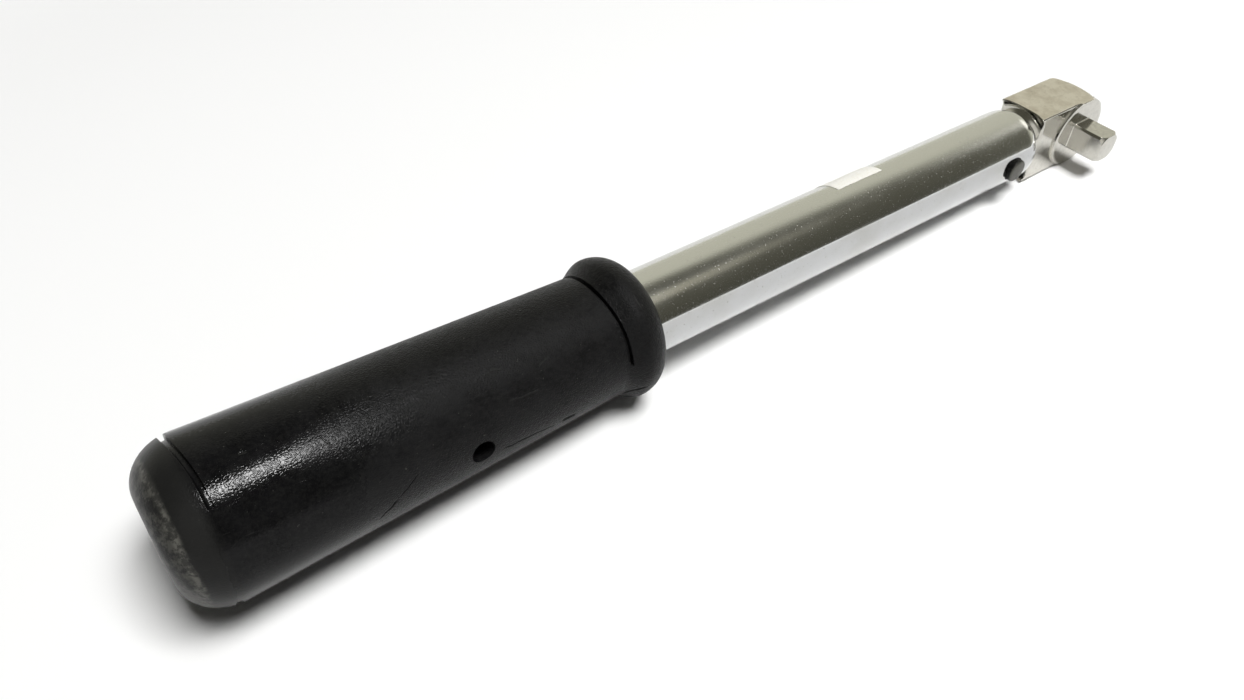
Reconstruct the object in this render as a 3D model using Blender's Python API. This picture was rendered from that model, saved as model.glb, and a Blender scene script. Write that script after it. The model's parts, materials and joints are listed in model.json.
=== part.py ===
# Preset torque wrench with a fixed square drive, built as an assembly of separate pieces.
# Metres, +Z up. +X runs along the tube towards the head and the square drive points to -Y.
# Places along X are counted from the drive axis, heights from the tube's axis.

import math

import bmesh
import bpy
from mathutils import Matrix, Vector

# Gap between pieces that fit in or rest on one another
FIT = 0.0003

# Tube
TUBE_DIAMETER = 0.0250
TUBE_WALL = 0.00175
TUBE_LIP = 0.0013
TUBE_MOUTH_TO_PIVOT = 0.0091
TUBE_BEHIND_RING = 0.0055

# Head and square drive
HEAD_HEIGHT = 0.0250
HEAD_THICKNESS = 0.0180
HEAD_REACH = 0.0252
HEAD_BACK_EDGE = 0.0008
NOSE_RADIUS = 0.01375
NOSE_CROWN = 0.00095
BOSS_STEP = 0.0010
BOSS_EDGE = 0.0005
DRIVE_SIDE = 0.009525
DRIVE_LENGTH = 0.01235
DRIVE_END_DIAMETER = 0.0103
DRIVE_CHAMFER = 0.00135
DRIVE_CORNER = 0.0005
DRIVE_FILLET = 0.0004
DISH_RADIUS = 0.0030
DISH_BEHIND_HEAD = 0.0015

# Lever behind the head, and the pivot pin
DRIVE_TO_PIVOT = 0.0402
CLICK_ANGLE = math.radians(2.5)
NECK_GAP = 0.00135
NECK_RELIEF = 0.00015
NECK_BEHIND_PIVOT = 0.0100
LEVER_LENGTH = 0.0620
LEVER_WIDTH = 0.0110
LEVER_STRIKE_GAP = 0.0004
PIN_DIAMETER = 0.0079
PIN_PROUD = 0.00175
PIN_CHAMFER = 0.0006

# Detent in the square drive
BALL_DIAMETER = 0.0035
BALL_PROUD = 0.0008
BALL_FROM_END = 0.0055
DETENT_DEPTH = 0.0080
DETENT_WIRE = 0.0004
DETENT_COIL = 0.0026
DETENT_TURNS = 4.0

# Click mechanism
BLOCK_SIZE = 0.0080
BLOCK_EDGE = 0.0004
POCKET_DEPTH = 0.0020
POCKET_SWAY = 0.0009
PLUNGER_LENGTH = 0.0180
SPIGOT_LENGTH = 0.0070
WASHER_THICKNESS = 0.0015
SPRING_WIRE = 0.0032
SPRING_COIL = 0.0152
SPRING_LENGTH = 0.0720
SPRING_TURNS = 11.0
SPRING_CLOSED_PITCH = 0.0038

# Load adjuster
SCREW_DIAMETER = 0.0080
SCREW_TIP = 0.0080
NUT_LENGTH = 0.0160
NUT_TRAVEL = 0.0050
KEY_DIAMETER = 0.0030
KEY_DEPTH = 0.0030
COLLAR_DIAMETER = 0.0160
COLLAR_LENGTH = 0.0040
SHANK_DIAMETER = 0.0074
RACE_DIAMETER = 0.0160
RACE_THICKNESS = 0.0015
BEARING_BALL = 0.0025
BEARING_BALLS = 8
CAGE_THICKNESS = 0.0010
BUSH_LENGTH = 0.0260
BUSH_TO_LOCK_SCREW = 0.0178
RING_THICKNESS = 0.0012
RING_WIDTH = 0.0024
RING_SEAT = 0.0006
CLIP_DIAMETER = 0.0130
CLIP_GROOVE = 0.0008
SCREW_TAIL = 0.0100
SCREW_SOCKET = 0.0050
SCREW_SOCKET_DEPTH = 0.0050
LOCK_DIAMETER = 0.0060
LOCK_SOCKET = 0.0030
LOCK_SOCKET_DEPTH = 0.0030
LOCK_BELOW_TUBE = 0.0005

# Grip
GRIP_LENGTH = 0.1319
GRIP_REAR_DIAMETER = 0.0421
GRIP_WAIST_DIAMETER = 0.0353
GRIP_LIP = 0.0006
FLARE_DIAMETER = 0.0410
FLARE_LENGTH = 0.0076
FLARE_RISE = 0.0072
REAR_ROUND_LENGTH = 0.0121
REAR_ROUND_HEIGHT = 0.0109
FRONT_SLOT_WIDTH = 0.0012
REAR_SLOT_WIDTH = 0.0024
SLOT_DEPTH = 0.0015
FRONT_SLOT_FROM_FRONT = 0.0132
REAR_SLOT_FROM_END = 0.0121
FRONT_SLOT_SWEEP = math.radians(121)
REAR_SLOT_SWEEP = math.radians(104)
FRONT_SLOT_START = math.radians(9)
REAR_SLOT_START = math.radians(52)
SIDE_HOLE_DIAMETER = 0.0065
SIDE_HOLE_TO_FRONT = 0.0589
ACCESS_DIAMETER = 0.0170
PLUG_LENGTH = 0.0120
PLUG_SLOT_WIDTH = 0.0020
PLUG_SLOT_DEPTH = 0.0016

# Facets around round pieces
FINE = 56
PLAIN = 36
SMALL = 20
TINY = 12

# Radii and places worked out from the sizes above
TUBE_R = TUBE_DIAMETER / 2
BORE_R = TUBE_R - TUBE_WALL
SLIDE_R = BORE_R - FIT
NECK_R = BORE_R - NECK_GAP
DISH_X = -HEAD_REACH - DISH_BEHIND_HEAD
PIN_R = PIN_DIAMETER / 2
HALF_HEIGHT = HEAD_HEIGHT / 2
HALF_THICK = HEAD_THICKNESS / 2
BOSS_Y = -(HALF_THICK + BOSS_STEP)
DRIVE_END_Y = BOSS_Y - DRIVE_LENGTH
PIVOT_X = -DRIVE_TO_PIVOT
TUBE_MOUTH_X = PIVOT_X + TUBE_MOUTH_TO_PIVOT
LEVER_END_X = PIVOT_X - LEVER_LENGTH
LEVER_HALF_WIDTH = LEVER_WIDTH / 2
LEVER_SWING = LEVER_LENGTH * math.sin(CLICK_ANGLE)
LEVER_ROOM = math.sqrt(BORE_R ** 2 - LEVER_HALF_WIDTH ** 2)
LEVER_HALF_HEIGHT = LEVER_ROOM - LEVER_SWING - LEVER_STRIKE_GAP
LEVER_FLOOR_X = LEVER_END_X + POCKET_DEPTH
BLOCK_FRONT_X = LEVER_FLOOR_X - FIT
BLOCK_REAR_X = BLOCK_FRONT_X - BLOCK_SIZE
PLUNGER_FLOOR_X = BLOCK_REAR_X - FIT
PLUNGER_FRONT_X = PLUNGER_FLOOR_X + POCKET_DEPTH
PLUNGER_REAR_X = PLUNGER_FRONT_X - PLUNGER_LENGTH
FRONT_WASHER_X = PLUNGER_REAR_X - FIT
SPRING_FRONT_X = FRONT_WASHER_X - WASHER_THICKNESS - FIT
SPRING_REAR_X = SPRING_FRONT_X - SPRING_LENGTH
REAR_WASHER_X = SPRING_REAR_X - FIT
NUT_FRONT_X = REAR_WASHER_X - WASHER_THICKNESS - FIT
NUT_REAR_X = NUT_FRONT_X - NUT_LENGTH
KEY_X = (NUT_FRONT_X + NUT_REAR_X) / 2
SPIGOT_R = (SPRING_COIL - SPRING_WIRE) / 2 - FIT
SPRING_SEAT_R = (SPRING_COIL + SPRING_WIRE) / 2
SCREW_R = SCREW_DIAMETER / 2
COLLAR_FRONT_X = NUT_REAR_X - NUT_TRAVEL - SCREW_R
COLLAR_REAR_X = COLLAR_FRONT_X - COLLAR_LENGTH
TURNING_RACE_X = COLLAR_REAR_X - FIT
BALL_FRONT_X = TURNING_RACE_X - RACE_THICKNESS - FIT
STILL_RACE_X = BALL_FRONT_X - BEARING_BALL - FIT
BUSH_FRONT_X = STILL_RACE_X - RACE_THICKNESS - FIT
BUSH_REAR_X = BUSH_FRONT_X - BUSH_LENGTH
RING_X = BUSH_REAR_X - FIT
RING_GROOVE_R = BORE_R + RING_SEAT
TUBE_REAR_X = RING_X - RING_THICKNESS - TUBE_BEHIND_RING
SHANK_R = SHANK_DIAMETER / 2
BALL_CIRCLE_R = (SHANK_R + FIT + RACE_DIAMETER / 2) / 2
SCREW_REAR_X = BUSH_REAR_X - SCREW_TAIL
LOCK_X = BUSH_FRONT_X - BUSH_TO_LOCK_SCREW
GRIP_BORE_R = TUBE_R + FIT
GRIP_REAR_R = GRIP_REAR_DIAMETER / 2
GRIP_WAIST_R = GRIP_WAIST_DIAMETER / 2
FLARE_R = FLARE_DIAMETER / 2
ACCESS_R = ACCESS_DIAMETER / 2
GRIP_FRONT_X = LOCK_X + SIDE_HOLE_TO_FRONT
GRIP_REAR_X = GRIP_FRONT_X - GRIP_LENGTH
REST_MIDDLE_X = (NOSE_RADIUS + GRIP_REAR_X) / 2
REST_MIDDLE_Y = (min(DRIVE_END_Y, -GRIP_REAR_R) + GRIP_REAR_R) / 2


def clear_scene():
    for thing in list(bpy.data.objects):
        bpy.data.objects.remove(thing)


def metal(name, colour, roughness, metallic=1.0):
    """Plain shaded material for one kind of surface."""
    made = bpy.data.materials.new(name)
    made.use_nodes = True
    shader = made.node_tree.nodes["Principled BSDF"]
    shader.inputs["Base Color"].default_value = (*colour, 1.0)
    shader.inputs["Roughness"].default_value = roughness
    shader.inputs["Metallic"].default_value = metallic
    return made


def empty(name, place, parent=None):
    """Marks the frame or a joint's axis."""
    made = bpy.data.objects.new(name, None)
    bpy.context.scene.collection.objects.link(made)
    made.parent = parent
    made.location = place
    return made


def solid(name, shape, finish, carrier):
    """Turns a bmesh in wrench places into an object that hangs on its carrier."""
    mesh = bpy.data.meshes.new(name)
    bmesh.ops.recalc_face_normals(shape, faces=shape.faces)
    shape.to_mesh(mesh)
    shape.free()
    mesh.shade_smooth()
    mesh.set_sharp_from_angle(angle=math.radians(35))
    mesh.materials.append(finish)
    return hang(bpy.data.objects.new(name, mesh), carrier)


def hang(thing, carrier):
    """Parents an object modelled in wrench places, with its carrier's own place taken off."""
    bpy.context.scene.collection.objects.link(thing)
    thing.parent = carrier
    if carrier.parent:
        thing.location = -carrier.location
    return thing


def shape_with(thing, tool_name, shape, operation="DIFFERENCE"):
    """Cuts an object with a hidden tool solid, or joins the two."""
    mesh = bpy.data.meshes.new(tool_name)
    bmesh.ops.recalc_face_normals(shape, faces=shape.faces)
    shape.to_mesh(mesh)
    shape.free()
    tool = bpy.data.objects.new(tool_name, mesh)
    bpy.context.scene.collection.objects.link(tool)
    tool.parent = thing
    tool.hide_render = True
    tool.display_type = "WIRE"
    step = thing.modifiers.new(tool_name, "BOOLEAN")
    step.operation = operation
    step.solver = "EXACT"
    step.object = tool


def arc(centre, radii, start, end, steps):
    """Points on an ellipse in the (x, r) plane, from one angle in degrees to another."""
    turns = [math.radians(start + (end - start) * i / steps) for i in range(steps + 1)]
    return [(centre[0] + radii[0] * math.cos(t), centre[1] + radii[1] * math.sin(t)) for t in turns]


def rod(front, rear, radius, edge=0.0):
    """Profile of a plain round bar with chamfered ends."""
    return [(front, 0.0), (front, radius - edge), (front - edge, radius),
            (rear + edge, radius), (rear, radius - edge), (rear, 0.0)]


def sleeve(front, rear, outer, inner):
    """Profile of a plain ring or bush."""
    return [(front, inner), (front, outer), (rear, outer), (rear, inner)]


def spun(profile, steps, ring=False):
    """Full turn of an (x, r) profile about the X axis."""
    shape = bmesh.new()
    points = [shape.verts.new((x, 0.0, r)) for x, r in profile]
    links = list(zip(points, points[1:]))
    if ring:
        links.append((points[-1], points[0]))
    edges = [shape.edges.new(pair) for pair in links]
    bmesh.ops.spin(shape, geom=points + edges, cent=(0, 0, 0), axis=(1, 0, 0),
                   angle=math.tau, steps=steps, use_merge=True)
    bmesh.ops.remove_doubles(shape, verts=shape.verts, dist=1e-7)
    return shape


def swept(profile, start, sweep, steps):
    """Part turn of a closed (x, r) outline about the X axis, from an angle above -Y."""
    shape = bmesh.new()
    face = shape.faces.new([shape.verts.new((x, -r, 0.0)) for x, r in profile])
    bmesh.ops.spin(shape, geom=[face] + face.edges[:] + face.verts[:], cent=(0, 0, 0),
                   axis=(1, 0, 0), angle=-sweep, steps=steps)
    bmesh.ops.rotate(shape, verts=shape.verts, matrix=Matrix.Rotation(-start, 3, "X"))
    return shape


def block(low, high, edge=0.0):
    """Box between two corners, with its edges broken."""
    shape = bmesh.new()
    size = Vector(high) - Vector(low)
    bmesh.ops.create_cube(shape, size=1.0)
    bmesh.ops.scale(shape, vec=size, verts=shape.verts)
    bmesh.ops.translate(shape, vec=(Vector(high) + Vector(low)) / 2, verts=shape.verts)
    if edge:
        bmesh.ops.bevel(shape, geom=shape.edges, offset=edge, segments=1, affect="EDGES")
    return shape


def to_drive_side(shape, place):
    """Turns a shape made along +X to point to -Y, and moves it."""
    bmesh.ops.rotate(shape, verts=shape.verts, matrix=Matrix.Rotation(math.radians(-90), 3, "Z"))
    bmesh.ops.translate(shape, verts=shape.verts, vec=place)
    return shape


def to_top(shape, place):
    """Turns a shape made along +X to point to +Z, and moves it."""
    bmesh.ops.rotate(shape, verts=shape.verts, matrix=Matrix.Rotation(math.radians(-90), 3, "Y"))
    bmesh.ops.translate(shape, verts=shape.verts, vec=place)
    return shape


def sphere(centre, radius, across, around):
    """Ball turned about X."""
    half_turn = [(centre[0] + radius, 0.0)]
    half_turn += arc((centre[0], 0.0), (radius, radius), 180 / around, 180 - 180 / around, around - 2)
    half_turn += [(centre[0] - radius, 0.0)]
    shape = spun(half_turn, across)
    bmesh.ops.translate(shape, verts=shape.verts, vec=(0.0, centre[1], centre[2]))
    return shape


def coil(name, front, length, wire, coil_diameter, turns, closed_pitch, offset, finish, carrier):
    """Compression spring along X with one closed turn at each end, as one tube."""
    points_a_turn = 10
    active_pitch = (length - wire - 2 * closed_pitch) / (turns - 2)
    steps = round(turns * points_a_turn)
    places = []
    along = front - wire / 2
    for i in range(steps + 1):
        angle = math.tau * i / points_a_turn
        places.append(Vector((along, coil_diameter / 2 * math.sin(angle) + offset,
                              coil_diameter / 2 * math.cos(angle))))
        closed = i < points_a_turn or i >= steps - points_a_turn
        along -= (closed_pitch if closed else active_pitch) / points_a_turn
    least = min((a - b).length for i, a in enumerate(places) for b in places[i + points_a_turn // 2:])
    print(f"{name}: least gap between turns {1000 * (least - wire):.2f} mm")
    line = bpy.data.curves.new(name, "CURVE")
    line.dimensions = "3D"
    line.bevel_depth = wire / 2
    line.bevel_resolution = 1
    line.use_fill_caps = True
    path = line.splines.new("POLY")
    path.points.add(len(places) - 1)
    for point, place in zip(path.points, places):
        point.co = (*place, 1.0)
    line.materials.append(finish)
    return hang(bpy.data.objects.new(name, line), carrier)


def tube(finish, carrier):
    """Tube with a rolled mouth, pin holes, key slot, lock screw hole and ring groove."""
    lip = arc((TUBE_MOUTH_X - TUBE_LIP, TUBE_R - TUBE_LIP), (TUBE_LIP, TUBE_LIP), 0, 90, 4)
    groove_front = RING_X + FIT / 2
    groove_rear = RING_X - RING_THICKNESS - FIT / 2
    inside = [(TUBE_REAR_X, TUBE_R), (TUBE_REAR_X, BORE_R), (groove_rear, BORE_R),
              (groove_rear, RING_GROOVE_R), (groove_front, RING_GROOVE_R), (groove_front, BORE_R)]
    made = solid("tube", spun(lip + inside + [(TUBE_MOUTH_X, BORE_R)], FINE, ring=True), finish, carrier)
    through = to_drive_side(spun(rod(TUBE_DIAMETER, -TUBE_DIAMETER, PIN_R + FIT), SMALL), (PIVOT_X, 0, 0))
    shape_with(made, "tube_pin_holes", through)
    hole = to_drive_side(spun(rod(TUBE_DIAMETER, 0.0, LOCK_DIAMETER / 2 + FIT), SMALL), (LOCK_X, 0, 0))
    shape_with(made, "tube_lock_hole", hole)
    slot_half = KEY_DIAMETER / 2 + FIT
    slot_ends = NUT_TRAVEL + slot_half
    slot = block((KEY_X - slot_ends, -slot_half, 0), (KEY_X + slot_ends, slot_half, TUBE_DIAMETER))
    shape_with(made, "tube_key_slot", slot)
    return made


def nose_radius(y):
    """Radius of the crowned nose about the drive axis, largest at mid thickness."""
    middle = -BOSS_STEP / 2
    half = HALF_THICK + BOSS_STEP / 2
    return NOSE_RADIUS - NOSE_CROWN * ((y - middle) / half) ** 2


def square_reach(angle, half_side):
    """Distance from the drive axis to the square's outline, with its corners broken."""
    across = abs(math.cos(angle))
    up = abs(math.sin(angle))
    corner = (half_side * math.sqrt(2) - DRIVE_CORNER) * math.sqrt(2) / (across + up)
    return min(half_side / max(across, up), corner)


def boss_reach(angle, radius):
    """Distance to a round outline that the flat top and bottom cut off."""
    return min(radius, HALF_HEIGHT / max(abs(math.sin(angle)), 1e-9))


def body_reach(angle, y, edge=0.0):
    """Distance to the head's side outline: round nose, flat top and bottom, flat rear."""
    reach = (HALF_HEIGHT - edge) / max(abs(math.sin(angle)), 1e-9)
    if math.cos(angle) > 0:
        return min(reach, nose_radius(y) - edge)
    return min(reach, (HEAD_REACH - edge) / max(-math.cos(angle), 1e-9))


def head_loops(angles):
    """Outlines about the drive axis, from the square's end to the back of the head."""
    half = DRIVE_SIDE / 2
    edge_y = BOSS_Y + BOSS_EDGE
    end_r = DRIVE_END_DIAMETER / 2
    corner_r = half * math.sqrt(2) - DRIVE_CORNER
    loops = []
    for share in (0.0, 0.3, 0.65, 1.0):
        turned_r = end_r + (corner_r - end_r) * share
        y = DRIVE_END_Y + DRIVE_CHAMFER * share
        loops.append([(min(square_reach(a, half), turned_r), y, a) for a in angles])
    loops.append([(square_reach(a, half), BOSS_Y - DRIVE_FILLET, a) for a in angles])
    loops.append([(square_reach(a, half + DRIVE_FILLET), BOSS_Y, a) for a in angles])
    loops.append([(boss_reach(a, nose_radius(BOSS_Y) - BOSS_EDGE), BOSS_Y, a) for a in angles])
    loops.append([(boss_reach(a, nose_radius(edge_y)), edge_y, a) for a in angles])
    loops.append([(boss_reach(a, nose_radius(-HALF_THICK)), -HALF_THICK, a) for a in angles])
    bands = 6
    rear_y = HALF_THICK - HEAD_BACK_EDGE
    for i in range(bands + 1):
        y = -HALF_THICK + (rear_y + HALF_THICK) * i / bands
        loops.append([(body_reach(a, y), y, a) for a in angles])
    loops.append([(body_reach(a, HALF_THICK, HEAD_BACK_EDGE), HALF_THICK, a) for a in angles])
    return loops


def head_shape():
    """Head block, crowned nose, raised boss and square drive, lofted about the drive axis."""
    corner = math.atan2(HALF_HEIGHT, -HEAD_REACH)
    angles = sorted([math.tau * i / 72 for i in range(72)] + [corner, math.tau - corner])
    shape = bmesh.new()
    rings = [[shape.verts.new((reach * math.cos(a), y, reach * math.sin(a))) for reach, y, a in loop]
             for loop in head_loops(angles)]
    for near, far in zip(rings, rings[1:]):
        for i in range(len(angles)):
            j = (i + 1) % len(angles)
            shape.faces.new((near[i], near[j], far[j], far[i]))
    shape.faces.new(rings[0])
    shape.faces.new(rings[-1])
    bmesh.ops.remove_doubles(shape, verts=shape.verts, dist=1e-7)
    return shape


def lever_shape():
    """Round neck that turns on the pin, tapering into the lever inside the tube."""
    neck_front = DISH_RADIUS - HEAD_REACH
    neck_rear = PIVOT_X - NECK_BEHIND_PIVOT
    taper = NECK_R - LEVER_HALF_WIDTH
    profile = [(neck_front, 0.0), (neck_front, HALF_THICK - FIT), (DISH_X, NECK_R), (neck_rear, NECK_R),
               (neck_rear - taper, LEVER_HALF_WIDTH - FIT), (neck_rear - taper, 0.0)]
    return spun(profile, PLAIN)


def drive_head(finish, carrier):
    """Head forging with its lever, pin hole, block pocket and detent bore."""
    made = solid("drive_head", head_shape(), finish, carrier)
    shape_with(made, "head_neck", lever_shape(), "UNION")
    low = (LEVER_END_X, -LEVER_HALF_WIDTH, -LEVER_HALF_HEIGHT)
    high = (PIVOT_X - PIN_DIAMETER, LEVER_HALF_WIDTH, LEVER_HALF_HEIGHT)
    shape_with(made, "head_lever", block(low, high, BLOCK_EDGE), "UNION")
    through = to_drive_side(spun(rod(TUBE_DIAMETER, -TUBE_DIAMETER, PIN_R + FIT), SMALL), (PIVOT_X, 0, 0))
    shape_with(made, "head_pin_hole", through)
    shape_with(made, "head_pocket", pocket(LEVER_END_X - BLOCK_SIZE, LEVER_FLOOR_X))
    bore_front = HEAD_REACH
    bore_rear = DRIVE_SIDE / 2 - DETENT_DEPTH
    bore = spun(rod(bore_front, bore_rear, BALL_DIAMETER / 2 + FIT), SMALL)
    bmesh.ops.rotate(bore, verts=bore.verts, matrix=Matrix.Rotation(math.pi / SMALL, 3, "X"))
    bmesh.ops.translate(bore, verts=bore.verts, vec=(0, DRIVE_END_Y + BALL_FROM_END, 0))
    shape_with(made, "head_detent_bore", bore)
    dish = arc((DISH_X, NECK_R + DISH_RADIUS - NECK_RELIEF), (DISH_RADIUS, DISH_RADIUS), 0, 345, 23)
    shape_with(made, "head_dish", spun(dish, PLAIN, ring=True))
    return made


def pocket(from_x, to_x):
    """Recess that lets the tilting block rock."""
    half_wide = BLOCK_SIZE / 2 + FIT
    half_high = BLOCK_SIZE / 2 + POCKET_SWAY
    return block((min(from_x, to_x), -half_wide, -half_high), (max(from_x, to_x), half_wide, half_high))


def pivot_pin(finish, carrier):
    """Pin across the tube, standing proud on the drive side."""
    profile = rod(TUBE_R + PIN_PROUD, -TUBE_R + FIT, PIN_R, PIN_CHAMFER)
    return solid("pivot_pin", to_drive_side(spun(profile, PLAIN), (PIVOT_X, 0, 0)), finish, carrier)


def detent(ball_finish, wire_finish, ball_carrier, head_carrier):
    """Ball in the front face of the square, and the spring behind it."""
    y = DRIVE_END_Y + BALL_FROM_END
    ball_x = DRIVE_SIDE / 2 + BALL_PROUD - BALL_DIAMETER / 2
    solid("detent_ball", sphere((ball_x, y, 0), BALL_DIAMETER / 2, SMALL, 8), ball_finish, ball_carrier)
    spring_front = ball_x - BALL_DIAMETER / 2 - FIT
    spring_length = spring_front - (DRIVE_SIDE / 2 - DETENT_DEPTH) - FIT
    coil("detent_spring", spring_front, spring_length, DETENT_WIRE, DETENT_COIL, DETENT_TURNS,
         2.2 * DETENT_WIRE, y, wire_finish, head_carrier)


def tilt_block(finish, carrier):
    """Block that rocks between the lever and the plunger."""
    half = BLOCK_SIZE / 2
    shape = block((BLOCK_REAR_X, -half, -half), (BLOCK_FRONT_X, half, half), BLOCK_EDGE)
    return solid("tilt_block", shape, finish, carrier)


def plunger(finish, carrier):
    """Sliding plunger with a pocket in front and a spigot for the spring."""
    profile = [(PLUNGER_FRONT_X, 0.0), (PLUNGER_FRONT_X, SLIDE_R - BLOCK_EDGE),
               (PLUNGER_FRONT_X - BLOCK_EDGE, SLIDE_R), (PLUNGER_REAR_X, SLIDE_R),
               (PLUNGER_REAR_X, SPIGOT_R), (PLUNGER_REAR_X - SPIGOT_LENGTH, SPIGOT_R),
               (PLUNGER_REAR_X - SPIGOT_LENGTH, 0.0)]
    made = solid("plunger", spun(profile, PLAIN), finish, carrier)
    shape_with(made, "plunger_pocket", pocket(PLUNGER_FLOOR_X, PLUNGER_FRONT_X + BLOCK_SIZE))
    return made


def washer(name, front, finish, carrier):
    """Hardened washer between the torque spring and its seat."""
    profile = sleeve(front, front - WASHER_THICKNESS, SPRING_SEAT_R, SPIGOT_R + FIT)
    return solid(name, spun(profile, PLAIN, ring=True), finish, carrier)


def load_nut(finish, carrier):
    """Nut that the key stops from turning, with a spigot for the spring."""
    thread_r = SCREW_R + FIT
    profile = [(NUT_FRONT_X + SPIGOT_LENGTH, thread_r), (NUT_FRONT_X + SPIGOT_LENGTH, SPIGOT_R),
               (NUT_FRONT_X, SPIGOT_R), (NUT_FRONT_X, SLIDE_R), (NUT_REAR_X, SLIDE_R),
               (NUT_REAR_X, thread_r)]
    made = solid("load_nut", spun(profile, PLAIN, ring=True), finish, carrier)
    seat = to_top(spun(rod(TUBE_DIAMETER, 0.0, KEY_DIAMETER / 2 + FIT), SMALL),
                  (KEY_X, 0, SLIDE_R - KEY_DEPTH - FIT))
    shape_with(made, "nut_key_seat", seat)
    return made


def nut_key(finish, carrier):
    """Dowel in the nut that runs in the tube's slot."""
    shape = spun(rod(TUBE_R - FIT, SLIDE_R - KEY_DEPTH, KEY_DIAMETER / 2), SMALL)
    return solid("nut_key", to_top(shape, (KEY_X, 0, 0)), finish, carrier)


def load_screw(finish, carrier):
    """Captive screw with a thrust collar, a shank, a clip groove and a hexagon socket."""
    clip_front = BUSH_REAR_X - FIT / 2
    clip_rear = BUSH_REAR_X - FIT * 1.5 - RING_THICKNESS
    groove_r = SHANK_R - CLIP_GROOVE
    profile = [(NUT_FRONT_X + SCREW_TIP, 0.0), (NUT_FRONT_X + SCREW_TIP, SCREW_R - CLIP_GROOVE),
               (NUT_FRONT_X + SCREW_TIP - CLIP_GROOVE, SCREW_R), (COLLAR_FRONT_X, SCREW_R),
               (COLLAR_FRONT_X, COLLAR_DIAMETER / 2), (COLLAR_REAR_X, COLLAR_DIAMETER / 2),
               (COLLAR_REAR_X, SHANK_R), (clip_front, SHANK_R), (clip_front, groove_r),
               (clip_rear, groove_r), (clip_rear, SHANK_R), (SCREW_REAR_X, SHANK_R), (SCREW_REAR_X, 0.0)]
    made = solid("load_screw", spun(profile, PLAIN), finish, carrier)
    socket = spun(rod(SCREW_REAR_X + SCREW_SOCKET_DEPTH, SCREW_REAR_X - SCREW_SOCKET,
                      SCREW_SOCKET / math.sqrt(3)), 6)
    shape_with(made, "screw_socket", socket)
    return made


def screw_clip(finish, carrier):
    """Open clip in the screw's groove, behind the bush."""
    front = BUSH_REAR_X - FIT
    profile = sleeve(front, front - RING_THICKNESS, CLIP_DIAMETER / 2, SHANK_R - CLIP_GROOVE + FIT)
    shape = swept(profile, math.radians(30), math.radians(300), PLAIN)
    return solid("screw_clip", shape, finish, carrier)


def race(name, front, finish, carrier):
    """Flat race of the thrust bearing."""
    profile = sleeve(front, front - RACE_THICKNESS, RACE_DIAMETER / 2, SHANK_R + FIT)
    return solid(name, spun(profile, PLAIN, ring=True), finish, carrier)


def bearing(ball_finish, cage_finish, carrier):
    """Balls between the two races, spaced by a thin cage."""
    middle = BALL_FRONT_X - BEARING_BALL / 2
    profile = sleeve(middle + CAGE_THICKNESS / 2, middle - CAGE_THICKNESS / 2,
                     RACE_DIAMETER / 2, SHANK_R + FIT)
    cage = solid("ball_cage", spun(profile, PLAIN, ring=True), cage_finish, carrier)
    holes = spun(rod(middle + CAGE_THICKNESS, middle - CAGE_THICKNESS, BEARING_BALL / 2 + FIT), TINY)
    bmesh.ops.translate(holes, verts=holes.verts, vec=(0.0, BALL_CIRCLE_R, 0.0))
    bmesh.ops.spin(holes, geom=holes.verts[:] + holes.edges[:] + holes.faces[:], cent=(0, 0, 0), axis=(1, 0, 0),
                   angle=math.tau * (BEARING_BALLS - 1) / BEARING_BALLS, steps=BEARING_BALLS - 1,
                   use_duplicate=True)
    shape_with(cage, "cage_holes", holes)
    for i in range(BEARING_BALLS):
        angle = math.tau * i / BEARING_BALLS
        place = (middle, BALL_CIRCLE_R * math.cos(angle), BALL_CIRCLE_R * math.sin(angle))
        solid(f"bearing_ball_{i + 1}", sphere(place, BEARING_BALL / 2, TINY, 8), ball_finish, carrier)


def screw_bush(finish, carrier):
    """Bush in the tube that carries the screw and takes the spring's thrust."""
    profile = sleeve(BUSH_FRONT_X, BUSH_REAR_X, SLIDE_R, SHANK_R + FIT)
    made = solid("screw_bush", spun(profile, PLAIN, ring=True), finish, carrier)
    hole = to_drive_side(spun(rod(TUBE_DIAMETER, 0.0, LOCK_DIAMETER / 2 + FIT), SMALL), (LOCK_X, 0, 0))
    shape_with(made, "bush_lock_hole", hole)
    return made


def retaining_ring(finish, carrier):
    """Open ring sprung into the tube's groove behind the bush."""
    outer = RING_GROOVE_R - FIT
    profile = sleeve(RING_X, RING_X - RING_THICKNESS, outer, outer - RING_WIDTH)
    shape = swept(profile, math.radians(20), math.radians(320), PLAIN)
    return solid("retaining_ring", shape, finish, carrier)


def lock_screw(finish, carrier):
    """Set screw through tube and bush that bears on the screw's shank."""
    outer = TUBE_R - LOCK_BELOW_TUBE
    shape = spun(rod(outer, SHANK_R + FIT, LOCK_DIAMETER / 2, CLIP_GROOVE), SMALL)
    made = solid("lock_screw", to_drive_side(shape, (LOCK_X, 0, 0)), finish, carrier)
    socket = spun(rod(outer + LOCK_SOCKET, outer - LOCK_SOCKET_DEPTH, LOCK_SOCKET / math.sqrt(3)), 6)
    shape_with(made, "lock_socket", to_drive_side(socket, (LOCK_X, 0, 0)))
    return made


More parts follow.
